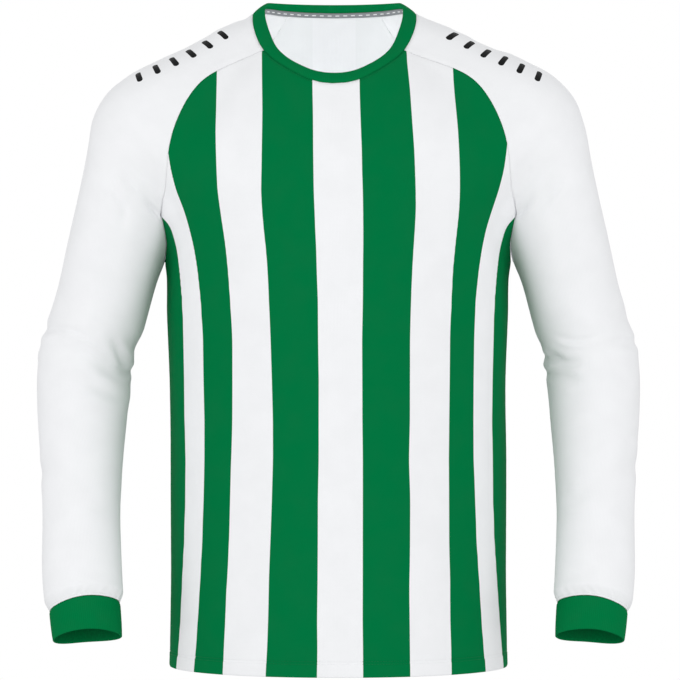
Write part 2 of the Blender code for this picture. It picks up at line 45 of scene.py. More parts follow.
# The worn form: one smooth shape that every panel lies on
wornForm = {
    "hemHeight": -700.0,
    "armpitHeight": -248.0,
    "sideSeamDepth": 6.0,
    "creaseSoftness": 10.0,      # how softly an arm joins the torso below the chest
    "shoulderSoftness": 35.0,    # and how much more softly above it
    "softHeights": (-215.0, -110.0),
    "softWidths": (85.0, 160.0),
    "neckShare": 0.1,
    "creaseTop": (-214.0, -184.0),      # below these heights each panel keeps to its own part
    "creaseAgreement": (0.80, 0.95),
    "tableStep": 2.5,
    "tableReach": 13.0,
    "seamReach": 7.0,
    "slopeStep": 0.5,
    "leastSlope": 0.05,
    "sectionPoints": 400,
    "leanFade": (77.0, 140.0),
}
# height, middle depth, half width, front reach, back reach, squareness
torsoSections = (
    (60, 8, 76, 10, 60, 2.0),
    (23, 8, 84, 18, 68, 2.0),
    (0, 8, 97, 43, 79, 2.0),
    (-25, 8, 123, 65, 87, 2.1),
    (-64, 8, 168, 96, 97, 2.3),
    (-100, 8, 205, 113, 103, 2.5),
    (-130, 8, 222, 126, 107, 2.6),
    (-165, 11, 212, 138, 105, 2.5),
    (-200, 15, 195, 148, 100, 2.3),
    (-232, 19, 188.5, 155, 95, 2.15),
    (-300, 20, 190, 157, 91, 2.1),
    (-380, 20, 186.5, 155, 86, 2.1),
    (-440, 20, 185.4, 153.5, 84, 2.1),
    (-520, 20, 185.3, 153, 86, 2.1),
    (-600, 20, 184.8, 152, 89, 2.1),
    (-710, 20, 186.5, 150, 92, 2.1),
)
# left arm: x, y, z of the middle line, half width, half depth, squareness
armPath = (
    (15, 8, -9, 50, 42, 2.0),
    (75, 8, -37, 53, 44, 2.0),
    (130, 7, -61, 56, 57, 2.0),
    (180, 5, -86, 59, 66, 2.1),
    (213, 3, -110, 59, 70, 2.3),
    (221.5, 3, -150, 56, 70, 2.5),
    (233, 4, -195, 54, 69, 2.6),
    (246, 6, -245, 53, 66, 2.4),
    (259, 9, -297, 51.3, 63, 2.2),
    (274, 12, -345, 52, 60, 2.1),
    (281, 8, -375, 51.5, 57, 2.1),
    (281.5, -2, -420, 49.5, 53, 2.1),
    (281.3, -16, -470, 45, 48, 2.1),
    (280.3, -34, -530, 41.8, 44, 2.1),
    (278.2, -55, -595, 43.5, 39, 2.1),
    (270.5, -77, -662, 41, 36, 2.1),
    (262.5, -100, -730, 40.5, 36, 2.1),
)
# neck seam and free edge of the neck band, front middle to back middle: x, y, z
neckSeamRows = (
    (0, -87.6, -64.2), (11, -87.2, -63.9), (22, -85, -62), (32, -81, -58.3), (48.6, -71, -49.6),
    (65, -58, -37.7), (77, -45, -26.2), (84.2, -31, -13), (87.7, -17, -2.2), (88.4, -3, 9.6),
    (88, 12, 20.9), (79, 38, 24), (60, 60, 23), (33, 73, 22.5), (0, 77, 22),
)
neckEdgeRows = (
    (0, -77.9, -53.2), (13, -77, -52.3), (25.7, -74, -48.9), (46.3, -63, -38.1), (57.5, -52, -28.9),
    (64.6, -42, -19.7), (72, -20, 1), (76.2, -4, 15.8), (76.3, 4, 23.5), (75.5, 18, 32),
    (68, 40, 33.5), (50, 56, 34), (27, 64, 34), (0, 66.5, 34),
)
# raglan seams on the left, neck to underarm: x, y, z
raglanFront = (
    (77, -45, -26.2), (92.5, -46, -32), (107, -47.5, -37.5), (120.5, -50.5, -43), (133, -53.5, -49),
    (142.5, -56.5, -54.5), (150.5, -60, -61.5), (157.5, -63.5, -70), (164.5, -67.5, -81.5),
    (170.3, -71.5, -92.8), (174.8, -75.3, -104), (178.5, -78.4, -115), (181, -80.5, -126),
    (183, -81, -136), (184.5, -78.4, -152.5), (187, -70, -172), (190.5, -58, -191),
    (193, -48, -206), (191, -30, -224), (190, -12, -240), (189.5, 5, -248),
)
raglanBack = (
    (52, 64, 22), (82, 75, -20), (110, 80, -50), (132, 83, -73), (150, 87, -97), (163, 89, -120),
    (172, 87, -144), (180, 79, -168), (186, 66, -194), (189.5, 48, -216), (190, 27, -238),
    (189.5, 5, -248),
)
# the neck leans a little to the wearer's right: height, shift
leanRows = ((-700, 0.5), (-400, 1.6), (-230, -0.5), (-120, -2.6), (-40, -5.0), (40, -5.0))


def smoothTable(keys, values, step, reach):
    knots = np.linspace(keys[0], keys[-1], int(round((keys[-1] - keys[0]) / step)) + 1)
    spread = int(3 * reach / step)
    weights = np.exp(-0.5 * (np.arange(-spread, spread + 1) * step / reach) ** 2)
    weights /= weights.sum()
    columns = []
    for column in values.T:
        line = np.interp(knots, keys, column)
        before = 2 * line[0] - line[spread:0:-1]
        after = 2 * line[-1] - line[-2:-spread - 2:-1]
        columns.append(np.convolve(np.concatenate([before, line, after]), weights, "valid"))
    return knots, np.array(columns).T


def readColumns(places, keys, table):
    return np.array([np.interp(places, keys, column) for column in table.T]).T


def stepLengths(points):
    lengths = np.linalg.norm(np.diff(points, axis=0), axis=-1)
    return np.concatenate([np.zeros((1,) + lengths.shape[1:]), np.cumsum(lengths, axis=0)])


def crossLengths(grid):
    return stepLengths(grid.transpose(1, 0, 2)).T


def ease(value, low, high):
    share = np.clip((value - low) / (high - low), 0.0, 1.0)
    return share * share * (3.0 - 2.0 * share)


def unit(vectors):
    return vectors / np.maximum(np.linalg.norm(vectors, axis=-1, keepdims=True), tiny)


def sideFactors(points):
    factors = np.ones_like(points)
    factors[:, 0] = np.where(points[:, 0] < 0, -1.0, 1.0)
    return factors


def mirrored(points):
    return points * np.array([-1.0, 1.0, 1.0])


def readTable(table, place):
    low = np.minimum(place.astype(int), len(table) - 2)
    share = (place - low)[:, None]
    return table[low] * (1 - share) + table[low + 1] * share


def squaredRadius(across, along, acrossReach, alongReach, square):
    # how far a squared oval reaches in a direction
    ratio = (np.abs(across) / acrossReach) ** square + (np.abs(along) / alongReach) ** square
    return (np.hypot(across, along) + tiny) / (ratio ** (1 / square) + tiny)


class WornShape:
    # signed distance to the worn shirt, negative inside: torso sections and two arm tubes

    def __init__(self):
        step, reach = wornForm["tableStep"], wornForm["tableReach"]
        sections = np.array(torsoSections, float)[::-1]
        self.heights, self.sections = smoothTable(sections[:, 0], sections[:, 1:], step, reach)
        path = np.array(armPath, float)
        self.stations, table = smoothTable(stepLengths(path[:, :3]), path, step, reach)
        self.stationStep = self.stations[1] - self.stations[0]
        self.middles = table[:, :3]
        self.middleSquares = (self.middles ** 2).sum(1)
        self.radii = table[:, 3:]
        self.headings = unit(np.gradient(self.middles, axis=0))
        self.backs = unit(np.array([0.0, 1.0, 0.0]) - self.headings * self.headings[:, 1:2])
        self.outers = np.cross(self.headings, self.backs)

    def torsoRow(self, height):
        return readColumns(height, self.heights, self.sections).T

    def torso(self, points):
        middle, half, front, back, square = self.torsoRow(points[:, 2])
        y = points[:, 1] - middle
        reach = np.where(y < 0, front, back)
        return np.hypot(points[:, 0], y) - squaredRadius(points[:, 0], y, half, reach, square)

    def armFrame(self, points):
        nearest = (self.middleSquares[None] - 2 * points @ self.middles.T).argmin(1)
        offset = ((points - self.middles[nearest]) * self.headings[nearest]).sum(1)
        place = np.clip(nearest + offset / self.stationStep, 0, len(self.stations) - 1)
        away = points - readTable(self.middles, place)
        outward = (away * readTable(self.outers, place)).sum(1)
        forward = -(away * readTable(self.backs, place)).sum(1)
        return place, away, outward, forward

    def arm(self, points):
        place, away, outward, forward = self.armFrame(points)
        reach = squaredRadius(outward, forward, *readTable(self.radii, place).T)
        return np.linalg.norm(away, axis=1) - reach

    def softness(self, points):
        upper = ease(points[:, 2], *wornForm["softHeights"])
        beside = ease(np.abs(points[:, 0]), *wornForm["softWidths"])
        beside = wornForm["neckShare"] + (1 - wornForm["neckShare"]) * beside
        return wornForm["creaseSoftness"] + wornForm["shoulderSoftness"] * upper * beside

    def distance(self, points):
        left = points * sideFactors(points)
        torso, arm, soft = self.torso(left), self.arm(left), self.softness(left)
        share = np.clip(0.5 + 0.5 * (arm - torso) / soft, 0, 1)
        return arm * (1 - share) + torso * share - soft * share * (1 - share)

    def slope(self, points, measure):
        step = wornForm["slopeStep"]
        rises = [measure(points + shift) - measure(points - shift) for shift in np.eye(3) * step]
        return np.stack(rises, 1) / (2 * step)

    def normal(self, points, measure=None):
        return unit(self.slope(points, measure or self.distance))

    def settle(self, points, measure=None, turns=8):
        # moves points on to the form
        measure = measure or self.distance
        points = np.array(points, float)
        for _ in range(turns):
            slope = self.slope(points, measure)
            steep = np.maximum((slope * slope).sum(1), wornForm["leastSlope"])
            points -= slope * (measure(points) / steep)[:, None]
        return points

    def settlePanel(self, grid, measure, turns=8):
        points = grid.reshape(-1, 3)
        sides = sideFactors(points)
        own = self.settle(points * sides, measure, turns) * sides
        share = ease(points[:, 2:], *wornForm["creaseTop"])
        return (self.settle(points, None, turns) * share + own * (1 - share)).reshape(grid.shape)

    def panelWays(self, grid, measure):
        # the ways out of a panel
        points = grid.reshape(-1, 3)
        sides = sideFactors(points)
        own = self.normal(points * sides, measure) * sides
        whole = self.normal(points)
        agreement = ease((own * whole).sum(1), *wornForm["creaseAgreement"])
        share = np.maximum(agreement, ease(points[:, 2], *wornForm["creaseTop"]))[:, None]
        return unit(whole * share + own * (1 - share)).reshape(grid.shape)

    def armPoints(self, stations, angles, radii=None):
        # angle 0 is outward and 90 degrees is forward
        place = np.asarray(stations, float) / self.stationStep
        outward, forward = np.cos(angles), np.sin(angles)
        radii = readTable(self.radii, place) if radii is None else radii
        radius = squaredRadius(outward, forward, *radii.T)[:, None]
        side = readTable(self.outers, place) * outward[:, None]
        side -= readTable(self.backs, place) * forward[:, None]
        return readTable(self.middles, place) + side * radius


shape = WornShape()


def spaced(curve, count):
    keys = stepLengths(curve)
    return readColumns(np.linspace(0.0, keys[-1], count), keys, curve)


def refine(grid, factor, axis=0):
    # smooth points between the points of a grid, along one axis
    grid = np.moveaxis(grid, axis, 0)
    first = 3 * grid[0] - 3 * grid[1] + grid[2]
    last = 3 * grid[-1] - 3 * grid[-2] + grid[-3]
    padded = np.concatenate([first[None], grid, last[None]])
    count = len(grid) - 1
    parts = []
    for number in range(factor):
        t = number / factor
        weights = (-0.5 * t + t * t - 0.5 * t ** 3, 1 - 2.5 * t * t + 1.5 * t ** 3,
                   0.5 * t + 2 * t * t - 1.5 * t ** 3, -0.5 * t * t + 0.5 * t ** 3)
        parts.append(sum(weight * padded[k:k + count] for k, weight in enumerate(weights)))
    fine = np.stack(parts, 1).reshape((-1,) + grid.shape[1:])
    return np.moveaxis(np.concatenate([fine, grid[-1:]]), 0, axis)


neck = {
    "middleDepth": -3.0,
    "ringStep": 1.5,             # degrees
    "ringReach": 5.0,
    "ringOverlap": 5,
    "runPoints": 120,
}


def ringReader(rows):
    # reads a closed neck ring by its angle in plan, 0 at the front and 180 degrees behind
    half = np.array(rows, float)
    ring = np.concatenate([mirrored(half[:0:-1]), half])
    extra = neck["ringOverlap"]
    ring = np.concatenate([ring[-extra - 1:-1], ring, ring[1:extra + 1]])
    angle = np.unwrap(np.arctan2(ring[:, 0], neck["middleDepth"] - ring[:, 1]))
    angle -= angle[extra] + np.pi
    knots, values = smoothTable(np.degrees(angle), ring, neck["ringStep"], neck["ringReach"])
    return lambda degrees: readColumns(degrees, knots, values)


def ringAngle(points):
    points = np.atleast_2d(points)
    return np.degrees(np.arctan2(points[:, 0], neck["middleDepth"] - points[:, 1]))


neckSeam = ringReader(neckSeamRows)
neckEdge = ringReader(neckEdgeRows)
frontAngle = float(ringAngle(raglanFront[0])[0])
backAngle = float(ringAngle(raglanBack[0])[0])

# Grids: steps before they are refined, about 9 mm, and how much finer the cloth is
panels = {
    "torsoColumns": 56,
    "sleeveColumns": 42,
    "yokeRows": 33,
    "rowStep": 8.7,
    "hemSteps": (0, 3, 6, 9, 12, 15, 18.5, 23, 29, 36.5),
    "cuffSteps": (30, 22.5, 16, 11, 7.2, 4, 1.8, 0),
    "finer": 3,
    "relaxFrom": (60.0, 260.0),  # above the hem, where a body panel's grid is evened out
    "relaxBelow": (40.0, 220.0),     # and below the underarm, for a sleeve's grid
    "relaxRounds": 5,
    "relaxTurns": 30,
    "relaxSettle": 3,
    "sootheReach": 24.0,         # in fine steps
    "sootheCore": 0.3,
    "sootheTurns": 40,
    "seamPull": 18.0,            # how far a seam's own line draws its panel along
}


def neckRun(start, end, count):
    return spaced(shape.settle(neckSeam(np.linspace(start, end, neck["runPoints"]))), count)


underarm = shape.settle(np.array([raglanFront[-1]], float))[0]


def raglanLine(rows, angle):
    points = np.array(rows, float)
    curve = smoothTable(stepLengths(points), points, wornForm["tableStep"], wornForm["seamReach"])[1]
    curve = shape.settle(curve)
    curve[0] = shape.settle(neckSeam(np.array([angle])))[0]
    line = spaced(curve[::-1], panels["yokeRows"] + 1)
    line[0] = underarm
    return line


frontSeam = raglanLine(raglanFront, frontAngle)
backSeam = raglanLine(raglanBack, backAngle)


def blendPatch(bottom, top, left, right):
    up = np.linspace(0.0, 1.0, len(left))[:, None, None]
    across = np.linspace(0.0, 1.0, len(bottom))[None, :, None]
    between = bottom[None] * (1 - up) + top[None] * up
    beside = left[:, None] * (1 - across) + right[:, None] * across
    low = bottom[0] * (1 - across) + bottom[-1] * across
    high = top[0] * (1 - across) + top[-1] * across
    return between + beside - (low * (1 - up) + high * up)


def torsoSection(height, facing):
    # half a section, from the right side seam to the left one; facing -1 is the front
    middle, half, front, back, square = shape.torsoRow(height)
    seamDrop = (middle - wornForm["sideSeamDepth"]) / front
    seamTurn = np.arcsin(np.clip(seamDrop, 0.0, 1.0) ** (square / 2))
    if facing < 0:
        turn = np.linspace(np.pi - seamTurn, seamTurn, wornForm["sectionPoints"])
        depth = -front * np.abs(np.sin(turn)) ** (2 / square)
    else:
        turn = np.linspace(np.pi + seamTurn, -seamTurn, wornForm["sectionPoints"])
        rise = np.sin(turn)
        depth = np.where(rise < 0, -front, back) * np.abs(rise) ** (2 / square)
    x = half * np.sign(np.cos(turn)) * np.abs(np.cos(turn)) ** (2 / square)
    return np.stack([x, middle + depth, np.full_like(x, height)], 1)


def pullEdges(grid, firstTarget, lastTarget):
    # carries the first and last columns on to their seams, and the cloth beside them along
    reach = panels["seamPull"]
    lengths = crossLengths(grid)
    fromFirst = np.exp(-(lengths / reach) ** 2)[:, :, None]
    fromLast = np.exp(-((lengths[:, -1:] - lengths) / reach) ** 2)[:, :, None]
    first = (firstTarget - grid[:, 0])[:, None]
    last = (lastTarget - grid[:, -1])[:, None]
    return grid + first * fromFirst + last * fromLast


def besideUnderarm(line):
    # an edge below the underarm, drawn on to the underarm point where it starts
    fade = np.exp(-(stepLengths(line) / panels["seamPull"]) ** 2)[:, None]
    return line + (underarm - line[0]) * fade


def relax(grid, share, turns):
    for _ in range(turns):
        around = (grid[:-2, 1:-1] + grid[2:, 1:-1] + grid[1:-1, :-2] + grid[1:-1, 2:]) / 4
        grid[1:-1, 1:-1] += share[1:-1, 1:-1] * (around - grid[1:-1, 1:-1])


def evenOut(grid, first, last, loose, measure):
    # spaces a grid evenly between its edges, where its rows are loose
    grid = grid.copy()
    share = loose[:, None, None] + np.zeros((1, grid.shape[1], 1))
    moved = np.nonzero(loose > 0)[0]
    part = slice(moved[0], moved[-1] + 1)
    for _ in range(panels["relaxRounds"]):
        grid[:, 0], grid[:, -1] = first, last
        relax(grid, share, panels["relaxTurns"])
        grid[part, 1:-1] = shape.settlePanel(grid[part, 1:-1], measure, panels["relaxSettle"])
    return grid


def soothe(grid, row):
    # smooths the last wrinkles of a grid beside the underarm point
    rows, columns = np.indices(grid.shape[:2])
    for column in (0, grid.shape[1] - 1):
        away = np.hypot(rows - row, columns - column) / panels["sootheReach"]
        relax(grid, (1 - ease(away, panels["sootheCore"], 1.0))[..., None], panels["sootheTurns"])


def refineBoth(grid):
    return refine(refine(grid, panels["finer"], 0), panels["finer"], 1)


def respaceRows(patch):
    return np.stack([spaced(line, panels["yokeRows"] + 1) for line in patch.transpose(1, 0, 2)], 1)


def torsoPanel(facing):
    # rows from the hem up, columns from the wearer's right to the left
    below = wornForm["armpitHeight"] - wornForm["hemHeight"]
    steps = np.array(panels["hemSteps"], float)
    count = int(round((below - steps[-1]) / panels["rowStep"]))
    steps = np.concatenate([steps, np.linspace(steps[-1], below, count + 1)[1:]])
    columns = panels["torsoColumns"] + 1
    lower = [spaced(torsoSection(wornForm["hemHeight"] + step, facing), columns) for step in steps]
    lower = shape.settlePanel(np.array(lower), shape.torso)
    seam = frontSeam if facing < 0 else backSeam
    start, end = (-frontAngle, frontAngle) if facing < 0 else (360.0 - backAngle, backAngle)
    top = neckRun(start, end, columns)
    top[0] = mirrored(seam[-1])
    top[-1] = seam[-1]
    dense = spaced(seam, 4 * panels["yokeRows"] + 1)
    patch = respaceRows(shape.settlePanel(blendPatch(lower[-1], top, mirrored(dense), dense), shape.torso))
    own = np.concatenate([lower, patch[1:]])
    edge = np.concatenate([besideUnderarm(lower[::-1, -1])[::-1][:-1], seam])
    loose = ease(stepLengths(own[:, 0]), *panels["relaxFrom"])
    own = evenOut(own, mirrored(edge), edge, loose, shape.torso)
    own = shape.settlePanel(own, shape.torso)
    own[-1] = top
    fineWays = unit(refineBoth(shape.panelWays(own, shape.torso)))
    yokeStart = (len(lower) - 1) * panels["finer"]
    side = besideUnderarm(refine(lower[:, -1], panels["finer"])[::-1])[::-1]
    target = np.concatenate([side[:-1], refine(seam, panels["finer"])])
    fine = pullEdges(refineBoth(own), mirrored(target), target)
    soothe(fine, yokeStart)
    return fine, fineWays, yokeStart


def sleevePanel():
    # left sleeve: rows from the neck down, columns from the front seam over the top to the back
    front = frontSeam[::-1]
    back = backSeam[::-1]
    yoke = panels["yokeRows"]
    columns = panels["sleeveColumns"] + 1
    top = neckRun(frontAngle, backAngle, columns)
    top[0] = front[0]
    top[-1] = back[0]

    def onTube(points):
        place, away, outward, forward = shape.armFrame(points)
        return np.stack([place * shape.stationStep, np.arctan2(forward, outward)], 1)

    fineRows = yoke * panels["finer"] + 1
    left = onTube(spaced(front, fineRows))
    right = onTube(spaced(back, fineRows))
    left[:, 1] = np.where(left[:, 1] < 0, left[:, 1] + 2 * np.pi, left[:, 1])
    right[:, 1] = np.where(right[:, 1] > 0, right[:, 1] - 2 * np.pi, right[:, 1])
    ringStation = left[-1, 0]
    left[-1, 1] = np.pi
    right[-1] = (ringStation, -np.pi)
    angles = np.linspace(np.pi, -np.pi, columns)
    ring = np.stack([np.full(columns, ringStation), angles], 1)
    cap = blendPatch(onTube(top), ring, left, right)
    cap = shape.armPoints(cap[:, :, 0].ravel(), cap[:, :, 1].ravel())
    cap = respaceRows(shape.settlePanel(cap.reshape(fineRows, columns, 3), shape.arm))
    cap = shape.settlePanel(cap, shape.arm)
    cap[0] = top
    ends = cuff["seamStation"] - np.array(panels["cuffSteps"], float)
    count = int(round((ends[0] - ringStation) / panels["rowStep"]))
    stations = np.concatenate([np.linspace(ringStation, ends[0], count + 1)[1:], ends[1:]])
    own = np.concatenate([cap, [gatheredRing(station, angles) for station in stations]])
    low = besideUnderarm(own[yoke:, 0])
    past = np.concatenate([np.zeros(yoke), stepLengths(low)])
    loose = 1 - ease(past, *panels["relaxBelow"])
    edges = np.concatenate([front[:-1], low]), np.concatenate([back[:-1], low])
    own = evenOut(own, *edges, loose, shape.arm)
    moved = loose > 0
    own[moved] = shape.settlePanel(own[moved], shape.arm)
    own[0] = top
    fine = refineBoth(own)
    fineWays = unit(refineBoth(shape.panelWays(own, shape.arm)))
    closedFrom = yoke * panels["finer"]
    low = besideUnderarm(fine[closedFrom:, 0])
    targets = [np.concatenate([refine(seam, panels["finer"])[:-1], low]) for seam in (front, back)]
    fine = pullEdges(fine, *targets)
    soothe(fine, closedFrom)
    fine[closedFrom:, -1] = fine[closedFrom:, 0]
    fineWays[closedFrom:, -1] = fineWays[closedFrom:, 0]
    return fine, fineWays, closedFrom


cuff = {
    "seamStation": 758.0,        # along the arm path
    "length": 36.5,
    "gather": 12.0,              # stretch of sleeve that draws in to the cuff
    "rows": ((0.0, 38.6, 32.5), (0.35, 38.0, 32.0), (1.0, 37.3, 31.0)),   # share, half width, half depth
    "columns": 168,
    "drop": (4.8, 1.4),          # how far the seam hangs lower at both sides, and more at the outer one
    "rimDrop": (3.6, -1.4),      # the same for the free edge
    "dropReach": 70.0,           # stretch of sleeve that hangs along
    "dents": ((3, 1, 0.35), (5, 2, 0.25)),      # waves round the rim, their phase and depth
    "wall": 2.0,
    "crown": 0.5,
    "seamGap": 0.25,
    "seamDip": 1.0,
    "lines": (),
    "outerRows": 20,
    "rollRows": 6,
    "innerRows": 14,
}


def cuffDrop(angles, share=0.0):
    both, outer = np.array(cuff["drop"]) * (1 - share) + np.array(cuff["rimDrop"]) * share
    return both * np.cos(angles) ** 2 + outer * np.cos(angles)


def cuffRadii(share, count):
    place = np.full(count, (cuff["seamStation"] + share * cuff["length"]) / shape.stationStep)
    radii = readTable(shape.radii, np.minimum(place, len(shape.stations) - 1))
    rows = np.array(cuff["rows"])
    radii[:, :2] = readColumns(share, rows[:, 0], rows[:, 1:])
    return radii


def gatheredRing(station, angles):
    # a ring of the sleeve, drawn in to the cuff's size at its end
    stations = np.full(len(angles), station)
    seam = cuff["seamStation"]
    share = ease(station, seam - cuff["gather"], seam)
    radii = readTable(shape.radii, stations / shape.stationStep) * (1 - share)
    radii += cuffRadii(0.0, len(angles)) * share
    stations = stations + cuffDrop(angles) * ease(station, seam - cuff["dropReach"], seam)
    return shape.armPoints(stations, angles, radii)


# What the camera sees: places brought to the middle plane
eye = {
    "distance": 3800.0,
    "height": -341.0,
    "sideways": 1.65,
    "lens": 182.9,
    "sensor": 36.0,
}


def asSeen(points):
    scale = eye["distance"] / (eye["distance"] + points[..., 1])
    return points[..., 0] * scale, eye["height"] + (points[..., 2] - eye["height"]) * scale


# Large folds, as on the solids: x, y, z of the middle, direction, half length, half width, rise
largeFolds = (
    (232, 40, -352, 0.25, 1.0, -0.10, 46, 11, -4.0),
    (240, -42, -372, 0.55, -0.9, -0.35, 40, 12, -3.5),
    (322, -8, -352, 0.1, 1.0, 0.25, 36, 13, 1.4),
    (236, 10, -392, 0.2, 1.0, 0.25, 44, 12, 0.8),
    (196, -72, -188, 0.45, -0.2, 0.85, 40, 13, -4.0),
    (196, 74, -190, 0.45, 0.2, 0.85, 42, 14, -4.5),
    (-232, 40, -356, -0.25, 1.0, -0.15, 44, 11, -4.0),
    (-246, -42, -366, -0.6, -0.9, 0.25, 42, 12, -3.5),
    (-322, -6, -348, -0.1, 1.0, -0.15, 38, 14, 2.2),
    (-238, 12, -400, -0.2, 1.0, 0.2, 40, 12, 2.0),
    (-196, -72, -190, -0.5, -0.2, 0.8, 38, 13, -4.5),
    (-198, 74, -186, -0.45, 0.2, 0.85, 44, 14, -4.0),
    (60, 108, -470, 0.9, 0.1, 0.35, 70, 24, -4.0),
    (-70, 108, -520, 0.9, -0.1, -0.3, 64, 22, -3.5),
    (190, 10, -340, 0.0, 0.0, 1.0, 95, 34, -2.2),
    (-187, 5, -28, -0.87, 0.0, -0.45, 36, 45, -2.8),
    (164, 5, -16, 0.87, 0.0, -0.45, 20, 40, -2.4),
    (-254, 5, -88, -0.6, 0.0, -0.8, 30, 40, 2.2),
    (240, 5, -66, 0.6, 0.0, -0.8, 34, 40, 3.0),
    (-122, 8, 4, -0.87, 0.0, -0.45, 21, 40, 3.0),
    (112, 8, 8, 0.87, 0.0, -0.45, 18, 36, 1.8),
)
# Creases: the side they face, their path, half width, height and kind.
# Front and back paths are x, z; paths on a sleeve's flanks are y, z.
frontCreases = (
    ("front", ((-40, -130), (-70, -170), (-86, -215)), 16, 0.9, "ridge"),
    ("front", ((62, -140), (84, -190), (92, -240)), 17, 0.9, "ridge"),
    ("front", ((-112, -560), (-96, -610), (-92, -660)), 15, 0.9, "trough"),
    ("front", ((70, -590), (88, -630), (120, -662)), 12, 1.0, "trough"),
    ("front", ((96, -560), (118, -600), (150, -628)), 13, 0.8, "ridge"),
    ("front", ((-20, -520), (-8, -590), (-18, -655)), 20, 0.8, "trough"),
)
backCreases = (
    ("back", ((-150, -190), (-110, -240), (-60, -268)), 13, 1.6, "trough"),
    ("back", ((152, -184), (116, -238), (70, -270)), 14, 1.5, "trough"),
    ("back", ((-120, -430), (-60, -452), (0, -448), (40, -436)), 12, 1.8, "trough"),
    ("back", ((110, -470), (60, -492), (10, -490)), 11, 1.5, "trough"),
    ("back", ((-96, -520), (-40, -540), (30, -532), (80, -515)), 13, 1.6, "trough"),
    ("back", ((-60, -600), (-52, -650), (-60, -696)), 15, 1.2, "trough"),
    ("back", ((70, -590), (64, -640), (72, -696)), 16, 1.2, "trough"),
    ("back", ((0, -70), (4, -130), (-2, -190)), 20, 0.9, "trough"),
)
rightSleeveCreases = (
    ("front", ((-331, -348), (-318, -334.4), (-302, -331), (-284.4, -337), (-262, -352)), 3.6, 1.8, "tuck"),
    ("front", ((-322, -362), (-300, -354), (-280, -356), (-258, -368)), 8.0, 1.6, "trough"),
    ("front", ((-250, -338), (-239, -357), (-228, -378)), 5.0, 3.2, "trough"),
    ("front", ((-268, -366), (-246, -380), (-226, -386)), 5.5, 1.7, "trough"),
    ("front", ((-280, -385), (-256, -398), (-228, -408)), 6.5, 2.2, "trough"),
    ("front", ((-250, -164), (-242, -184), (-232, -204)), 4.0, 1.5, "trough"),
    ("front", ((-241, -152), (-232, -166), (-219, -180)), 4.2, 1.5, "trough"),
    ("front", ((-230, -186), (-236, -206), (-236, -226)), 5.0, 1.0, "trough"),
    ("front", ((-214, -180), (-205, -194), (-195, -206)), 4.5, 1.4, "trough"),
    ("front", ((-209, -190), (-201, -199), (-192, -209)), 3.2, 3.0, "trough"),
    ("front", ((-262, -300), (-280, -322), (-304, -326)), 9.0, 1.2, "ridge"),
    ("front", ((-244, -520), (-258, -527), (-276, -522)), 8.0, 1.3, "trough"),
    ("front", ((-254, -600), (-270, -606), (-286, -602)), 7.0, 0.9, "trough"),
    ("left", ((-40, -340), (-10, -346), (30, -342)), 9.0, 1.6, "trough"),
    ("left", ((-40, -370), (-4, -377), (34, -370)), 4.5, 2.4, "trough"),
    ("right", ((-50, -333), (-6, -329), (48, -332)), 6.0, 2.2, "trough"),
    ("right", ((-44, -340), (-10, -348), (20, -344), (52, -352)), 6.5, 1.4, "trough"),
    ("right", ((-60, -470), (-30, -486), (10, -480)), 9.0, 1.2, "trough"),
    ("back", ((-318, -352), (-290, -344), (-256, -350)), 6.0, 2.0, "trough"),
    ("back", ((-308, -378), (-284, -370), (-250, -378)), 7.0, 1.6, "trough"),
    ("back", ((-236, -170), (-226, -194), (-214, -214)), 6.0, 1.5, "trough"),
)
leftSleeveCreases = (
    ("front", ((238, -338), (254, -344), (272, -344), (290, -337)), 4.0, 2.1, "tuck"),
    ("front", ((226, -352), (236, -361), (250, -366), (270, -362)), 5.0, 3.2, "trough"),
    ("front", ((228, -384), (244, -381), (266, -388)), 6.5, 1.8, "trough"),
    ("front", ((300, -348), (316, -344), (334, -353)), 5.5, 1.6, "trough"),
    ("front", ((292, -366), (308, -372), (330, -368)), 9.0, 1.0, "trough"),
    ("front", ((226, -192), (236, -178), (249, -163)), 3.8, 2.0, "trough"),
    ("front", ((214, -204), (224, -186), (232, -164)), 5.0, 1.1, "trough"),
    ("front", ((214, -180), (204, -194), (194, -206)), 4.5, 1.4, "trough"),
    ("front", ((207, -191), (200, -200), (192, -208)), 3.2, 2.4, "trough"),
    ("front", ((250, -296), (270, -318), (296, -326)), 9.0, 1.1, "ridge"),
    ("front", ((316, -450), (328, -446), (338, -452)), 7.0, 1.4, "trough"),
    ("front", ((244, -505), (258, -513), (276, -508)), 8.0, 1.3, "trough"),
    ("front", ((250, -590), (266, -598), (284, -592)), 7.0, 0.9, "trough"),
    ("right", ((-40, -356), (-8, -362), (32, -357)), 5.0, 3.0, "trough"),
    ("right", ((-30, -374), (4, -378), (36, -372)), 5.0, 1.6, "trough"),
    ("left", ((-50, -346), (-8, -343), (46, -347)), 5.0, 1.8, "trough"),
    ("left", ((-46, -318), (-12, -314), (18, -320), (50, -316)), 10.0, 1.2, "trough"),
    ("left", ((-64, -490), (-34, -478), (4, -486)), 9.0, 1.2, "trough"),
    ("back", ((316, -346), (288, -352), (254, -344)), 6.0, 2.0, "trough"),
    ("back", ((310, -372), (280, -380), (252, -372)), 7.0, 1.6, "trough"),
    ("back", ((238, -166), (228, -192), (212, -212)), 6.0, 1.6, "trough"),
)
facings = {
    "front": (0.0, -1.0, 0.0),
    "back": (0.0, 1.0, 0.0),
    "left": (1.0, 0.0, 0.0),
    "right": (-1.0, 0.0, 0.0),
}
crease = {
    "smoother": 6,
    "reach": 4.0,                # widths beyond its path where a crease ends
    "turnedAway": 0.4,           # it fades out where the cloth turns away from its side
    "ends": 0.02,
    "taper": 0.7,
    "lipShare": 0.3,             # cloth pushed up beside a trough, and where, in half widths
    "lipPlace": 1.7,
    "tuckGain": 1.7,
}


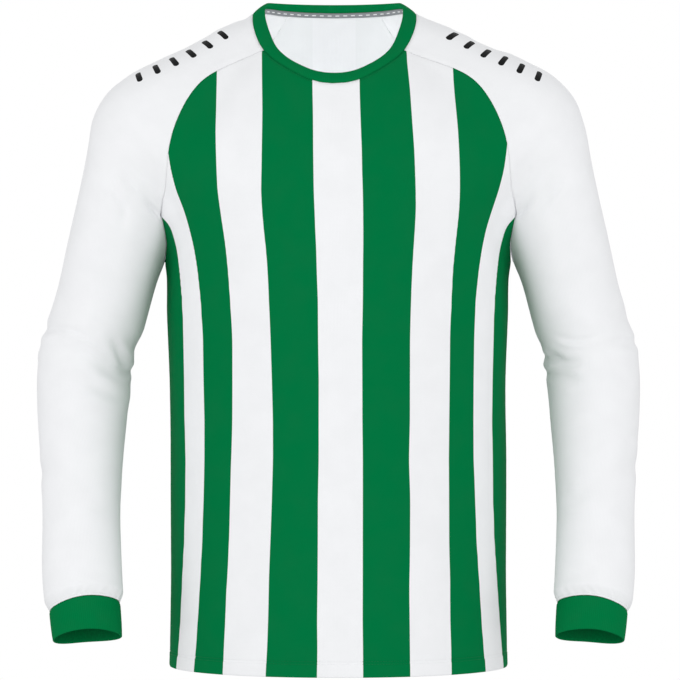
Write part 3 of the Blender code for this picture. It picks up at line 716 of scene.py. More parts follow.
def foldRise(points):
    rise = np.zeros(points.shape[:-1])
    for x, y, z, dx, dy, dz, halfLength, halfWidth, height in largeFolds:
        away = points - np.array([x, y, z], float)
        direction = unit(np.array([dx, dy, dz]))
        along = away @ direction
        across = np.linalg.norm(away - along[..., None] * direction, axis=-1)
        rise += height * np.exp(-(along / halfLength) ** 4 - (across / halfWidth) ** 2)
    return rise


def creaseProfile(kind, across):
    if kind == "ridge":
        return np.exp(-across ** 2)
    if kind == "tuck":
        return crease["tuckGain"] * across * np.exp(-across ** 2)
    place = crease["lipPlace"]
    sides = np.exp(-(across - place) ** 2) + np.exp(-(across + place) ** 2)
    return crease["lipShare"] * sides - np.exp(-across ** 2)


def creaseRise(points, ways, creases):
    rise = np.zeros(points.shape[:-1])
    seen = np.stack(asSeen(points), -1)
    for facing, path, width, height, kind in creases:
        away = ways @ np.array(facings[facing])
        places = seen if facing in ("front", "back") else points[..., 1:]
        line = refine(np.array(path, float), crease["smoother"])
        keys = stepLengths(line)
        middle = (line.max(0) + line.min(0)) / 2
        reach = np.linalg.norm(line.max(0) - line.min(0)) / 2 + crease["reach"] * width
        near = (np.linalg.norm(places - middle, axis=-1) < reach) & (away > 0)
        spots = places[near]
        best = np.full(len(spots), np.inf)
        across = np.zeros(len(spots))
        along = np.zeros(len(spots))
        for number, step in enumerate(np.diff(line, axis=0)):
            length = np.linalg.norm(step)
            offset = spots - line[number]
            share = np.clip(offset @ step / length ** 2, 0.0, 1.0)
            gap = np.linalg.norm(offset - share[:, None] * step, axis=1)
            side = np.sign(offset[:, 0] * step[1] - offset[:, 1] * step[0])
            closer = gap < best
            best = np.where(closer, gap, best)
            across = np.where(closer, gap * side, across)
            along = np.where(closer, keys[number] + share * length, along)
        part = np.clip(along / keys[-1], crease["ends"], 1 - crease["ends"])
        taper = np.sin(np.pi * part) ** crease["taper"]
        beyond = np.exp(-(np.maximum(best - np.abs(across), 0) / width) ** 2)
        fade = ease(away[near], 0.0, crease["turnedAway"]) * taper * beyond
        rise[near] += height * fade * creaseProfile(kind, across / width)
    return rise


cloth = {
    "wall": 0.8,
    "seamGap": 0.06,
    "gapHeights": (-150.0, -90.0),      # the gap narrows from the upper to the lower height
    "lowGapShare": 0.2,
    "hemTurn": 20.0,             # turned-up cloth inside the hem
    "hemStitch": 15.4,           # its stitch line, above the edge
    "hemDepths": (0.35, -0.45, -0.45),  # doubled cloth, the stitch line's groove, the rounded edge
    "hemWidths": (2.4, 1.4, 1.1),
    "seamDip": 0.35,             # depth of the grooves at the seams, and their width
    "seamWidth": 2.6,
    "raglanHeights": (-165.0, -95.0),   # raglan seams fade out into the armpits
    "raglanLow": 0.1,
    "sideHeights": (-330.0, -260.0),    # side and underarm seams start below them
    "lip": (0.35, 2.6, 1.3),     # turned-in cloth beside a seam: share of its depth, place, width
    "neckDip": (0.7, 2.4),
    "cuffDip": (0.5, 2.0),
    "puckerStep": 14.0,
    "puckers": ((0.22, 1.0, 1.0), (0.14, 0.43, 2.1)),
    "gathers": ((1.0, 9.3, 1.0), (0.6, 14.7, 2.0)),      # height, spacing and phase of a cuff's gathers
    "gatherHeight": 0.28,
    "gatherPlace": (5.0, 6.0),
}


def seamDip(distance, depth, width, wander=0.0):
    # a seam's groove with the turned-in cloth beside it standing a little proud
    share, place, spread = cloth["lip"]
    groove = -depth * np.exp(-(distance / width) ** 2)
    lip = share * depth * np.exp(-((distance - place * width) / (spread * width)) ** 2)
    return (groove + lip) * (1 + wander)


def seamWander(distanceAlong, phase):
    # a seam's slow unevenness along its length
    turn = 2 * np.pi * distanceAlong / cloth["puckerStep"]
    return sum(size * np.sin(rate * turn + shift * phase) for size, rate, shift in cloth["puckers"])


def lean(points):
    rows = np.array(leanRows)
    shift = np.interp(points[..., 2], rows[:, 0], rows[:, 1])
    shift = shift * (1 - ease(np.abs(points[..., 0]), *wornForm["leanFade"]))
    result = points.copy()
    result[..., 0] += shift
    return result


def drawIn(grid, closedFrom=None):
    # leaves a hair's gap at the seams, which closes down the armholes and the sides
    moved = grid.copy()
    amount = cloth["seamGap"] / 2
    moved[0] += unit(grid[1] - grid[0]) * amount
    moved[-1] += unit(grid[-2] - grid[-1]) * amount
    rows = slice(0, closedFrom)
    upper = ease(grid[rows, 0, 2:], *cloth["gapHeights"])
    amount = amount * (cloth["lowGapShare"] + (1 - cloth["lowGapShare"]) * upper)
    moved[rows, 0] += unit(grid[rows, 1] - grid[rows, 0]) * amount
    moved[rows, -1] += unit(grid[rows, -2] - grid[rows, -1]) * amount
    return moved


def quads(table):
    return np.stack([table[:-1, :-1], table[:-1, 1:], table[1:, 1:], table[1:, :-1]], -1).reshape(-1, 4)


def shellFaces(rows, columns, closedFrom=None, flip=False):
    # outer and inner quads and the rim between them; corners keep their grid place for the UVs
    count = rows * columns
    places = np.arange(count).reshape(rows, columns)
    welded = places.copy()
    if closedFrom is not None:
        welded[closedFrom:, -1] = welded[closedFrom:, 0]
    openRows = rows - 1 if closedFrom is None else closedFrom
    results = []
    for table in (welded, places):
        outer = quads(table)
        edges = np.concatenate([np.stack([table[0, :-1], table[0, 1:]], 1),
                                np.stack([table[-1, 1:], table[-1, :-1]], 1),
                                np.stack([table[:openRows, -1], table[1:openRows + 1, -1]], 1),
                                np.stack([table[1:openRows + 1, 0], table[:openRows, 0]], 1)])
        rim = np.stack([edges[:, 1], edges[:, 0], edges[:, 0] + count, edges[:, 1] + count], 1)
        faces = np.concatenate([outer, outer[:, ::-1] + count, rim])
        results.append(faces[:, ::-1] if flip else faces)
    kinds = np.repeat([0, 1, 2], [len(outer), len(outer), len(rim)])
    return results[0], results[1], kinds


def makeMesh(name, points, faces, materials, slots=None, flat=None):
    used, compact = np.unique(faces, return_inverse=True)
    mesh = bpy.data.meshes.new(name)
    mesh.from_pydata((points[used] * mm).tolist(), [], compact.reshape(faces.shape).tolist())
    for material in materials:
        mesh.materials.append(material)
    mesh.shade_smooth()
    if slots is not None:
        mesh.polygons.foreach_set("material_index", slots.astype(np.int32))
    if flat is not None:
        sharp = mesh.attributes.get("sharp_face") or mesh.attributes.new("sharp_face", "BOOLEAN", "FACE")
        sharp.data.foreach_set("value", flat)
    piece = bpy.data.objects.new(name, mesh)
    bpy.context.scene.collection.objects.link(piece)
    return piece, used


def addUvMap(piece, name, values, corners):
    layer = piece.data.uv_layers.new(name=name)
    layer.data.foreach_set("uv", values[corners.ravel()].astype(np.float32).ravel())


def addPointValues(mesh, name, values):
    attribute = mesh.attributes.new(name, "FLOAT", "POINT")
    attribute.data.foreach_set("value", values.astype(np.float32))


def bothSides(outer, inner):
    return lean(np.concatenate([outer.reshape(-1, 3), inner.reshape(-1, 3)]))


def clothShell(name, outer, inner, materials, closedFrom=None, flip=False, stripe=None, marks=None):
    rows, columns = outer.shape[:2]
    faces, corners, kinds = shellFaces(rows, columns, closedFrom, flip)
    inside = (kinds == 1).astype(np.int32)
    piece, used = makeMesh(name, bothSides(outer, inner), faces, materials, inside, kinds == 2)
    across = crossLengths(outer)
    across = across - across[:, columns // 2][:, None]
    along = stepLengths(outer[:, columns // 2])[:, None] + np.zeros((1, columns))
    weave = np.stack([across, along], -1).reshape(-1, 2)
    addUvMap(piece, "weave", np.concatenate([weave, weave]), corners)
    if marks is not None:
        addUvMap(piece, "marks", np.concatenate([marks, marks]), corners)
    if stripe is not None:
        addPointValues(piece.data, "stripe", np.concatenate([stripe.ravel(), stripe.ravel()])[used])
    return piece


# Stripes: seen places of the edges between the stripes, from the wearer's right to the left, by
# seen height.  Twenty stripes go round: white at the middle of front and back, green over the sides.
stripes = {
    "edges": np.arange(-4.5, 5.0),
    "seen": (
        (-10, -250, -190, -134, -83.9, -29, 23.5, 74, 125.5, 187.5, 250),
        (-33, -250, -190, -134, -83.9, -29, 23.5, 74.9, 126, 187.5, 250),
        (-49.5, -249, -190.5, -134.1, -83.8, -29, 23.6, 76.7, 126.5, 187.5, 249),
        (-66, -247, -190.5, -134.5, -83.6, -29, 23.7, 78.4, 127.6, 187.5, 247),
        (-88, -243, -190.5, -134.9, -83.3, -28.5, 24.4, 79.9, 129.8, 187.5, 243),
        (-110, -238, -190, -135.6, -83.6, -28.3, 25.2, 81.5, 131.9, 187, 238),
        (-132, -226, -187.7, -135.2, -84, -28.2, 26.1, 83.1, 133.1, 184.8, 226),
        (-154, -214, -184.3, -134.5, -84.3, -27.9, 26.4, 83.9, 133.9, 181.9, 214),
        (-176, -209, -178.8, -133.5, -84.7, -27.6, 27.2, 84.5, 134.1, 176.3, 209),
        (-198, -204, -170.2, -130.5, -83.6, -26.7, 27.5, 84.6, 133.2, 168.9, 204),
        (-205, -195.5, -168.2, -129.5, -83, -26.4, 27.6, 84.2, 132.5, 166.7, 195.5),
        (-213, -187, -165.8, -128.3, -82.4, -26.2, 27.6, 83.9, 131.6, 164.3, 187),
        (-220, -183.7, -163.8, -127.2, -81.8, -25.9, 27.7, 83.5, 130.9, 162.1, 183.4),
        (-231, -180.4, -161, -125.6, -80.6, -25.3, 27.7, 82.8, 129.6, 159.8, 180.2),
        (-242, -177.7, -158.6, -124.2, -79.4, -24.8, 27.6, 82.2, 128.5, 157.6, 177.4),
        (-264, -174.8, -155.1, -122, -77.7, -24.3, 27.4, 80.9, 126.4, 154.3, 174.6),
        (-297, -171.9, -151.6, -119.6, -76.2, -23, 27.2, 79.6, 124.9, 150.8, 171.9),
        (-341, -170.5, -148.9, -117, -74.4, -22.7, 26.4, 78.4, 123.1, 149.2, 170.5),
        (-385, -170, -148.3, -117, -72.9, -22, 26.6, 78.4, 122.7, 148.6, 169.5),
        (-429, -169.5, -147.3, -117.3, -71.8, -22.1, 26.7, 78.3, 122.2, 148.4, 169.1),
        (-473, -168, -147.3, -118.4, -71.7, -22.1, 27.2, 77.3, 121.8, 148.6, 169.6),
        (-517, -168.6, -148.4, -119.8, -72.9, -23, 27.2, 78.7, 122, 150.4, 170.1),
        (-561, -169.7, -149.7, -120.8, -74.5, -23.1, 27.1, 78.5, 122.2, 151.8, 171.5),
        (-605, -172, -152, -122.9, -76.1, -23.3, 27.1, 78, 122.9, 154.7, 174.4),
        (-649, -173.9, -154.7, -125.1, -77.1, -23.9, 27, 77.9, 123.5, 157.3, 177.4),
        (-682, -176.4, -156.9, -126.5, -78.2, -23.5, 27.4, 78.4, 124.4, 159.8, 180),
        (-698.5, -178, -158.3, -127.3, -79.1, -23.8, 27.5, 78.5, 124.6, 161.3, 181.3),
        (-720, -180, -160.1, -128.3, -80.1, -24.2, 27.6, 78.7, 125, 163, 183),
    ),
    "tableStep": 2.5,
    "smoothing": 5.0,
    "sideReach": 14.0,           # from the last edge to the side seam
    "halfRound": 10,             # stripes from the middle of the front to the middle of the back
}


def frontStripes(grid, yokeStart):
    rows = np.array(stripes["seen"], float)[::-1]
    heights, table = smoothTable(rows[:, 0], rows[:, 1:], stripes["tableStep"], stripes["smoothing"])
    reach, last = stripes["sideReach"], stripes["edges"][-1]
    edges = np.array([-last - 0.5, *stripes["edges"], last + 0.5])
    table = np.column_stack([table[:, 0] - reach, table, table[:, -1] + reach])
    seenX, seenZ = asSeen(lean(grid))
    result = np.zeros(grid.shape[:2])
    for number in range(len(grid)):
        places = readColumns(seenZ[number], heights, table)
        line = np.array([np.interp(x, place, edges) for x, place in zip(seenX[number], places)])
        if number <= yokeStart:
            # below the underarm the side seam itself is the middle of the last stripe
            arc = stepLengths(grid[number])
            low, high = np.interp((-last, last), line, arc)
            line = np.where(arc > high, last + 0.5 * (arc - high) / (arc[-1] - high), line)
            line = np.where(arc < low, -last - 0.5 * (low - arc) / low, line)
        result[number] = line
    return result


def backStripes(grid, yokeStart):
    middle = grid.shape[1] // 2
    result = np.zeros(grid.shape[:2])
    half = stripes["halfRound"]
    armpitRow = grid[yokeStart, middle:]
    armpitShare = stepLengths(armpitRow) / stepLengths(armpitRow)[-1]
    for number in range(len(grid)):
        if number < yokeStart:
            arc = stepLengths(grid[number, middle:])
            share = arc / arc[-1]
        else:
            share = np.interp(grid[number, middle:, 0], armpitRow[:, 0], armpitShare)
        result[number, middle:] = half - half / 2 * share
        result[number, :middle + 1] = (half - half / 2 * share)[::-1]
    return result


# Materials


def srgb(code):
    values = np.array([int(code[k:k + 2], 16) / 255 for k in (1, 3, 5)])
    linear = np.where(values <= 0.04045, values / 12.92, ((values + 0.055) / 1.055) ** 2.4)
    return (*linear.tolist(), 1.0)


def setInputs(tree, node, inputs):
    # an input takes a value, a socket to link from, or a node for its first output
    for name, value in inputs.items():
        if isinstance(value, bpy.types.Node):
            value = value.outputs[0]
        if isinstance(value, bpy.types.NodeSocket):
            tree.links.new(value, node.inputs[name])
        else:
            node.inputs[name].default_value = value


def addNode(tree, kind, inputs=None, **settings):
    node = tree.nodes.new(kind)
    for name, value in settings.items():
        setattr(node, name, value)
    setInputs(tree, node, inputs or {})
    return node


def newMaterial(name):
    material = bpy.data.materials.new(name)
    material.use_nodes = True
    return material, material.node_tree, material.node_tree.nodes["Principled BSDF"]


unevenness = {
    "scale": 0.03,               # patches some centimetres across
    "detail": 3.0,
    "range": (0.35, 0.7),
    "colour": "#4a5550",
}


def clothSurface(tree, shader, uv, colour, shade, height, bump, surface):
    # a worn cloth's faint unevenness, and its relief: distance in mm and strength
    noise = addNode(tree, "ShaderNodeTexNoise", {"Vector": uv, "Scale": unevenness["scale"],
                                                 "Detail": unevenness["detail"]})
    low, high = unevenness["range"]
    darker = addNode(tree, "ShaderNodeMapRange", {"Value": noise, "From Min": low, "From Max": high,
                                                  "To Min": 0.0, "To Max": shade})
    shaded = addNode(tree, "ShaderNodeMix", {0: darker, 6: colour, 7: srgb(unevenness["colour"])},
                     data_type="RGBA")
    relief = addNode(tree, "ShaderNodeBump",
                     {"Height": height, "Distance": bump[0] * mm, "Strength": bump[1]})
    setInputs(tree, shader, {"Base Color": shaded.outputs[2], "Normal": relief, **surface})


knit = {
    "white": "#eff0f2",
    "green": "#00723e",
    "wale": 1.5,                 # real loops are half that, too fine to show
    "course": 1.3,
    "insideTint": 0.035,
    "shade": 0.03,
}


def knitHeight(tree):
    # loops of a fine knit: wales across, courses along
    uv = addNode(tree, "ShaderNodeUVMap", uv_map="weave")
    rates = (2 * np.pi / knit["wale"], 2 * np.pi / knit["course"], 0.0)
    turned = addNode(tree, "ShaderNodeVectorMath", {0: uv, 1: rates}, operation="MULTIPLY")
    parts = addNode(tree, "ShaderNodeSeparateXYZ", {0: turned})
    wale = addNode(tree, "ShaderNodeMath", {0: parts.outputs[0]}, operation="SINE")
    bend = addNode(tree, "ShaderNodeMath", {0: wale}, operation="ABSOLUTE")
    course = addNode(tree, "ShaderNodeMath", {0: bend, 1: 1.6, 2: parts.outputs[1]},
                     operation="MULTIPLY_ADD")
    loops = addNode(tree, "ShaderNodeMath", {0: course}, operation="SINE")
    lower = addNode(tree, "ShaderNodeMath", {0: loops, 1: 0.45}, operation="MULTIPLY")
    return uv, addNode(tree, "ShaderNodeMath", {0: wale, 1: 0.55, 2: lower}, operation="MULTIPLY_ADD")


def stripeFactor(tree):
    # 1 on green stripes and 0 on white ones, with an edge of half a millimetre
    stripe = addNode(tree, "ShaderNodeAttribute", attribute_name="stripe").outputs["Fac"]
    turned = addNode(tree, "ShaderNodeMath", {0: stripe, 1: np.pi}, operation="MULTIPLY")
    wave = addNode(tree, "ShaderNodeMath", {0: turned}, operation="COSINE")
    return addNode(tree, "ShaderNodeMapRange", {"Value": wave, "From Min": 0.04, "From Max": 0.01},
                   interpolation_type="SMOOTHSTEP")


def makeStripedKnit():
    # Polyester interlock knit, dyed through in stripes: matt, its green deep even at grazing light.
    material, tree, shader = newMaterial("polyesterInterlockStriped")
    uv, height = knitHeight(tree)
    colour = addNode(tree, "ShaderNodeMix", {0: stripeFactor(tree), 6: srgb(knit["white"]),
                                             7: srgb(knit["green"])}, data_type="RGBA").outputs[2]
    clothSurface(tree, shader, uv, colour, knit["shade"], height, (0.10, 0.30),
                 {"Roughness": 0.66, "Sheen Weight": 0.0, "Specular IOR Level": 0.01})
    return material


shoulderBars = {
    "count": 6,
    "pitch": 21.0,
    "length": 22.0,              # across the shoulder line
    "width": 6.5,
    "softness": 0.12,
    "colour": "#0c0d0e",
    "start": 9.0,                # the first bar, along their middle line
    "line": (                    # on the left: x, y, z
        (118, -16.5, -4.0), (156.6, -29, -24.4), (184.7, -35.5, -38.1), (210.8, -37, -50.2), (240, -33, -68),
    ),
}


def barFactor(tree):
    # rounded bars in a row along the shoulder, from the distances along and across its line
    parts = addNode(tree, "ShaderNodeSeparateXYZ", {0: addNode(tree, "ShaderNodeUVMap", uv_map="marks")})
    pitch = shoulderBars["pitch"]
    number = addNode(tree, "ShaderNodeMath", {0: parts, 1: pitch}, operation="DIVIDE")
    number = addNode(tree, "ShaderNodeMath", {0: number}, operation="ROUND")
    last = shoulderBars["count"] - 1.0
    number = addNode(tree, "ShaderNodeClamp", {"Value": number, "Min": 0.0, "Max": last})
    along = addNode(tree, "ShaderNodeMath", {0: number, 1: -pitch, 2: parts}, operation="MULTIPLY_ADD")
    radius = shoulderBars["width"] / 2
    straight = shoulderBars["length"] / 2 - radius
    across = addNode(tree, "ShaderNodeMath", {0: parts.outputs[1]}, operation="ABSOLUTE")
    across = addNode(tree, "ShaderNodeMath", {0: across, 1: straight}, operation="SUBTRACT")
    across = addNode(tree, "ShaderNodeMath", {0: across, 1: 0.0}, operation="MAXIMUM")
    place = addNode(tree, "ShaderNodeCombineXYZ", {0: along, 1: across})
    gap = addNode(tree, "ShaderNodeVectorMath", {0: place}, operation="LENGTH").outputs["Value"]
    soft = shoulderBars["softness"]
    return addNode(tree, "ShaderNodeMapRange", {"Value": gap, "From Min": radius + soft,
                                                "From Max": radius - soft}, interpolation_type="SMOOTHSTEP")


def makeWhiteKnit():
    # The same knit left white, with printed bars on the shoulders: matt white, the print a little glossier.
    material, tree, shader = newMaterial("polyesterInterlockWhite")
    uv, height = knitHeight(tree)
    bars = barFactor(tree)
    colour = addNode(tree, "ShaderNodeMix", {0: bars, 6: srgb(knit["white"]),
                                             7: srgb(shoulderBars["colour"])}, data_type="RGBA").outputs[2]
    roughness = addNode(tree, "ShaderNodeMapRange", {"Value": bars, "To Min": 0.66, "To Max": 0.42})
    printed = addNode(tree, "ShaderNodeMath", {0: bars, 1: 1.2}, operation="MULTIPLY")
    raised = addNode(tree, "ShaderNodeMath", {0: height, 1: 0.5, 2: printed}, operation="MULTIPLY_ADD")
    clothSurface(tree, shader, uv, colour, knit["shade"], raised, (0.12, 0.35),
                 {"Roughness": roughness, "Sheen Weight": 0.02, "Specular IOR Level": 0.06})
    return material


def makeInsideKnit(striped):
    # The wrong side of the knit: plain white, the green only faintly through.
    material, tree, shader = newMaterial("knitWrongSide" + ("Striped" if striped else ""))
    uv, height = knitHeight(tree)
    colour = srgb(knit["white"])
    if striped:
        tint = addNode(tree, "ShaderNodeMath", {0: stripeFactor(tree), 1: knit["insideTint"]},
                       operation="MULTIPLY")
        colour = addNode(tree, "ShaderNodeMix", {0: tint, 6: colour, 7: srgb(knit["green"])},
                         data_type="RGBA").outputs[2]
    clothSurface(tree, shader, uv, colour, knit["shade"], height, (0.10, 0.30),
                 {"Roughness": 0.75, "Sheen Weight": 0.02, "Specular IOR Level": 0.06})
    return material


ribKnit = {
    "colour": "#00753f",
    # painted shade: the colour the grooves between the ribs are darkened towards
    "groove": "#005a30",
    "pitch": 2.2,                # from rib to rib
    "course": 1.3,
    "shade": 0.04,
}


def makeRibKnit():
    # Doubled 1x1 rib, polyester: fine upright ribs with painted shade in the grooves between them, softer
    # than the body cloth.
    material, tree, shader = newMaterial("ribKnitGreen")
    uv = addNode(tree, "ShaderNodeUVMap", uv_map="weave")
    rates = (2 * np.pi / ribKnit["pitch"], 2 * np.pi / ribKnit["course"], 0.0)
    turned = addNode(tree, "ShaderNodeVectorMath", {0: uv, 1: rates}, operation="MULTIPLY")
    parts = addNode(tree, "ShaderNodeSeparateXYZ", {0: turned})
    ribs = addNode(tree, "ShaderNodeMath", {0: parts.outputs[0]}, operation="COSINE")
    loops = addNode(tree, "ShaderNodeMath", {0: parts.outputs[1]}, operation="SINE")
    height = addNode(tree, "ShaderNodeMath", {0: loops, 1: 0.2, 2: ribs}, operation="MULTIPLY_ADD")
    # painted shade: the colour darkens towards the bottom of each groove between the ribs
    factor = addNode(tree, "ShaderNodeMapRange", {"Value": ribs, "From Min": -1.0, "From Max": 0.2,
                                                  "To Min": 0.24, "To Max": 0.0})
    colour = addNode(tree, "ShaderNodeMix", {0: factor, 6: srgb(ribKnit["colour"]),
                                             7: srgb(ribKnit["groove"])}, data_type="RGBA").outputs[2]
    clothSurface(tree, shader, uv, colour, ribKnit["shade"], height, (0.16, 0.22),
                 {"Roughness": 0.7, "Sheen Weight": 0.0, "Specular IOR Level": 0.01})
    return material


neckTape = {
    "reach": (-0.9, 4.9),        # from below the seam up on to the band
    "rows": 7,
    "gap": 0.15,
    "wall": 0.7,
    "sleeveColumns": 69,         # how far it reaches on to each sleeve, in fine columns
    "colour": "#83878a",
    "fleck": "#f0f1f2",
    "fleckShare": 0.8,
    "fleckPitch": 9.0,
    "fleckSize": (4.4, 1.1),
    "twillPitch": 1.1,
}


def makeTapeCloth():
    # Woven polyester twill tape: grey, fine slanting ribs, a row of plain lighter dashes.
    material, tree, shader = newMaterial("twillTapeGrey")
    parts = addNode(tree, "ShaderNodeSeparateXYZ", {0: addNode(tree, "ShaderNodeUVMap", uv_map="weave")})
    slant = addNode(tree, "ShaderNodeMath", {0: parts.outputs[0], 1: parts.outputs[1]}, operation="ADD")
    slant = addNode(tree, "ShaderNodeMath", {0: slant, 1: 2 * np.pi / neckTape["twillPitch"]},
                    operation="MULTIPLY")
    twill = addNode(tree, "ShaderNodeMath", {0: slant}, operation="SINE")
    long, high = neckTape["fleckSize"]
    offset = addNode(tree, "ShaderNodeMath", {0: parts, 1: neckTape["fleckPitch"] / 2}, operation="PINGPONG")
    beside = addNode(tree, "ShaderNodeMath", {0: offset, 1: long / 2}, operation="LESS_THAN")
    level = addNode(tree, "ShaderNodeMath", {0: parts.outputs[1]}, operation="ABSOLUTE")
    level = addNode(tree, "ShaderNodeMath", {0: level, 1: high / 2}, operation="LESS_THAN")
    dashes = addNode(tree, "ShaderNodeMath", {0: beside, 1: level}, operation="MULTIPLY")
    dashes = addNode(tree, "ShaderNodeMath", {0: dashes, 1: neckTape["fleckShare"]}, operation="MULTIPLY")
    colour = addNode(tree, "ShaderNodeMix", {0: dashes, 6: srgb(neckTape["colour"]),
                                             7: srgb(neckTape["fleck"])}, data_type="RGBA").outputs[2]
    relief = addNode(tree, "ShaderNodeBump", {"Height": twill, "Distance": 0.1 * mm, "Strength": 0.3})
    setInputs(tree, shader, {"Base Color": colour, "Normal": relief, "Roughness": 0.6, "Sheen Weight": 0.05,
                             "Specular IOR Level": 0.35})
    return material


def makeThread():
    # Spun polyester sewing thread, dyed to the cloth under it: a little glossier than the knit.
    material, tree, shader = newMaterial("sewingThreadStriped")
    colour = addNode(tree, "ShaderNodeMix", {0: stripeFactor(tree), 6: srgb("#e9eaec"), 7: srgb("#006c39")},
                     data_type="RGBA").outputs[2]
    setInputs(tree, shader, {"Base Color": colour, "Roughness": 0.5, "Sheen Weight": 0.03,
                             "Specular IOR Level": 0.15})
    return material


stripedKnit = makeStripedKnit()
whiteKnit = makeWhiteKnit()
insideStriped = makeInsideKnit(True)
insideWhite = makeInsideKnit(False)
ribCloth = makeRibKnit()
tapeCloth = makeTapeCloth()
print("materials made")

# Body panels and sleeves


def panelRise(grid, ways, creases, phase, toNeck, neckPhase):
    # folds, creases and the grooves at the side, raglan and neck seams
    rise = foldRise(grid) + creaseRise(grid, ways, creases)
    across = crossLengths(grid)
    low = cloth["raglanLow"]
    raglan = low + (1 - low) * ease(grid[..., 2], *cloth["raglanHeights"])
    depth = cloth["seamDip"] * (raglan + 1 - ease(grid[..., 2], *cloth["sideHeights"]))
    wander = seamWander(stepLengths(grid), phase)
    for distance in (across, across[:, -1:] - across):
        rise = rise + seamDip(distance, depth, cloth["seamWidth"], wander)
    return rise + seamDip(toNeck, *cloth["neckDip"], seamWander(across, neckPhase)), across


def addTorso(name, facing):
    grid, ways, yokeStart = torsoPanel(facing)
    up = stepLengths(grid)
    creases = frontCreases if facing < 0 else backCreases
    rise, across = panelRise(grid, ways, creases, 0.7 * facing, up[-1:] - up, 1.3)
    stitch = cloth["hemStitch"]
    doubled, pulled, rounded = cloth["hemDepths"]
    step, groove, edge = cloth["hemWidths"]
    rise = rise + doubled * (1 - ease(up, stitch - step / 3, stitch + 2 * step / 3))
    rise = rise + pulled * np.exp(-((up - stitch) / groove) ** 2) * (1 + seamWander(across, 0.4))
    rise = rise + rounded * np.exp(-(up / edge) ** 2)
    outer = drawIn(grid) + ways * rise[..., None]
    wall = cloth["wall"] * (2 - ease(up, cloth["hemTurn"] - 1, cloth["hemTurn"] + 1))
    inner = outer - ways * wall[..., None]
    stripe = frontStripes(grid, yokeStart) if facing < 0 else backStripes(grid, yokeStart)
    piece = clothShell(name, outer, inner, (stripedKnit, insideStriped), flip=facing > 0, stripe=stripe)
    return {"piece": piece, "grid": grid, "ways": ways, "outer": outer, "stripe": stripe, "up": up}


front = addTorso("frontPanel", -1)
print("front panel made")
back = addTorso("backPanel", 1)
print("back panel made")


def barPlaces(grid):
    # distance along the shoulder bars' line and across it
    line = refine(np.array(shoulderBars["line"], float), 5)
    keys = stepLengths(line)
    points = grid.reshape(-1, 3)
    nearest = ((points[:, None] - line[None]) ** 2).sum(2).argmin(1)
    heading = unit(np.gradient(line, axis=0))[nearest]
    offset = points - line[nearest]
    beyond = (offset * heading).sum(1)
    side = offset - heading * beyond[:, None]
    across = np.linalg.norm(side, axis=1) * np.sign(side[:, 1])
    return np.stack([keys[nearest] + beyond - shoulderBars["start"], across], 1)


leftGrid, leftWays, closedFrom = sleevePanel()
leftMarks = barPlaces(leftGrid)


def addSleeve(name, side, creases, phase):
    grid = leftGrid if side > 0 else mirrored(leftGrid)
    ways = leftWays if side > 0 else mirrored(leftWays)
    down = stepLengths(grid)
    toCuff = down[-1:] - down
    rise, across = panelRise(grid, ways, creases, phase, down, phase)
    rise = rise + seamDip(toCuff, *cloth["cuffDip"])
    ripple = sum(size * np.sin(2 * np.pi * across / spacing + shift * phase)
                 for size, spacing, shift in cloth["gathers"])
    place, reach = cloth["gatherPlace"]
    rise = rise + cloth["gatherHeight"] * ripple * np.exp(-((toCuff - place) / reach) ** 2)
    outer = drawIn(grid, closedFrom) + ways * rise[..., None]
    outer[closedFrom:, -1] = outer[closedFrom:, 0]
    inner = outer - ways * cloth["wall"]
    piece = clothShell(name, outer, inner, (whiteKnit, insideWhite), closedFrom, side < 0, marks=leftMarks)
    return {"piece": piece, "ways": ways, "outer": outer}


sleeveLeft = addSleeve("sleeveLeft", 1, leftSleeveCreases, 0.6)
sleeveRight = addSleeve("sleeveRight", -1, rightSleeveCreases, 2.3)
print("sleeves made")

# Neck band
collar = {
    "wall": 2.0,
    "crown": 1.3,
    "seamGap": 0.25,
    "seamDip": 0.9,
    "lines": ((0.30, 0.10), (0.62, 0.08)),     # faint lines round the band: share of its width, depth
    "outerRows": 13,
    "rollRows": 6,
    "innerRows": 9,
}
ribEdge = {
    "crowding": 1.15,            # rows stand closer at the seam
    "dipWidth": 1.7,
    "lineWidth": 0.8,
    "measureRow": 3,             # profile row that the rib's own pattern is measured along
}


def ribProfile(width, spec):
    # along the band and out from it, from the seam over the free edge to the inner seam
    radius, start = spec["wall"] / 2, spec["seamGap"]
    share = np.linspace(0.0, 1.0, spec["outerRows"]) ** ribEdge["crowding"]
    along = start + share[None] * (width[:, None] - radius - start)
    part = along / width[:, None]
    out = spec["crown"] * 4 * part * (1 - part)
    out = out - spec["seamDip"] * np.exp(-((along - start) / ribEdge["dipWidth"]) ** 2)
    for place, depth in spec["lines"]:
        out = out - depth * np.exp(-((part - place) * width[:, None] / ribEdge["lineWidth"]) ** 2)
    turn = np.linspace(np.pi / 2, -np.pi / 2, spec["rollRows"] + 2)[1:-1]
    rollAlong = along[:, -1:] + radius * np.cos(turn)[None]
    rollOut = out[:, -1:] - radius + radius * np.sin(turn)[None]
    innerShare = np.linspace(1.0, 0.0, spec["innerRows"])
    innerAlong = start + innerShare[None] * (width[:, None] - radius - start)
    innerPart = innerAlong / width[:, None]
    innerOut = spec["crown"] * 4 * innerPart * (1 - innerPart) - spec["wall"]
    return np.concatenate([along, rollAlong, innerAlong], 1), np.concatenate([out, rollOut, innerOut], 1)


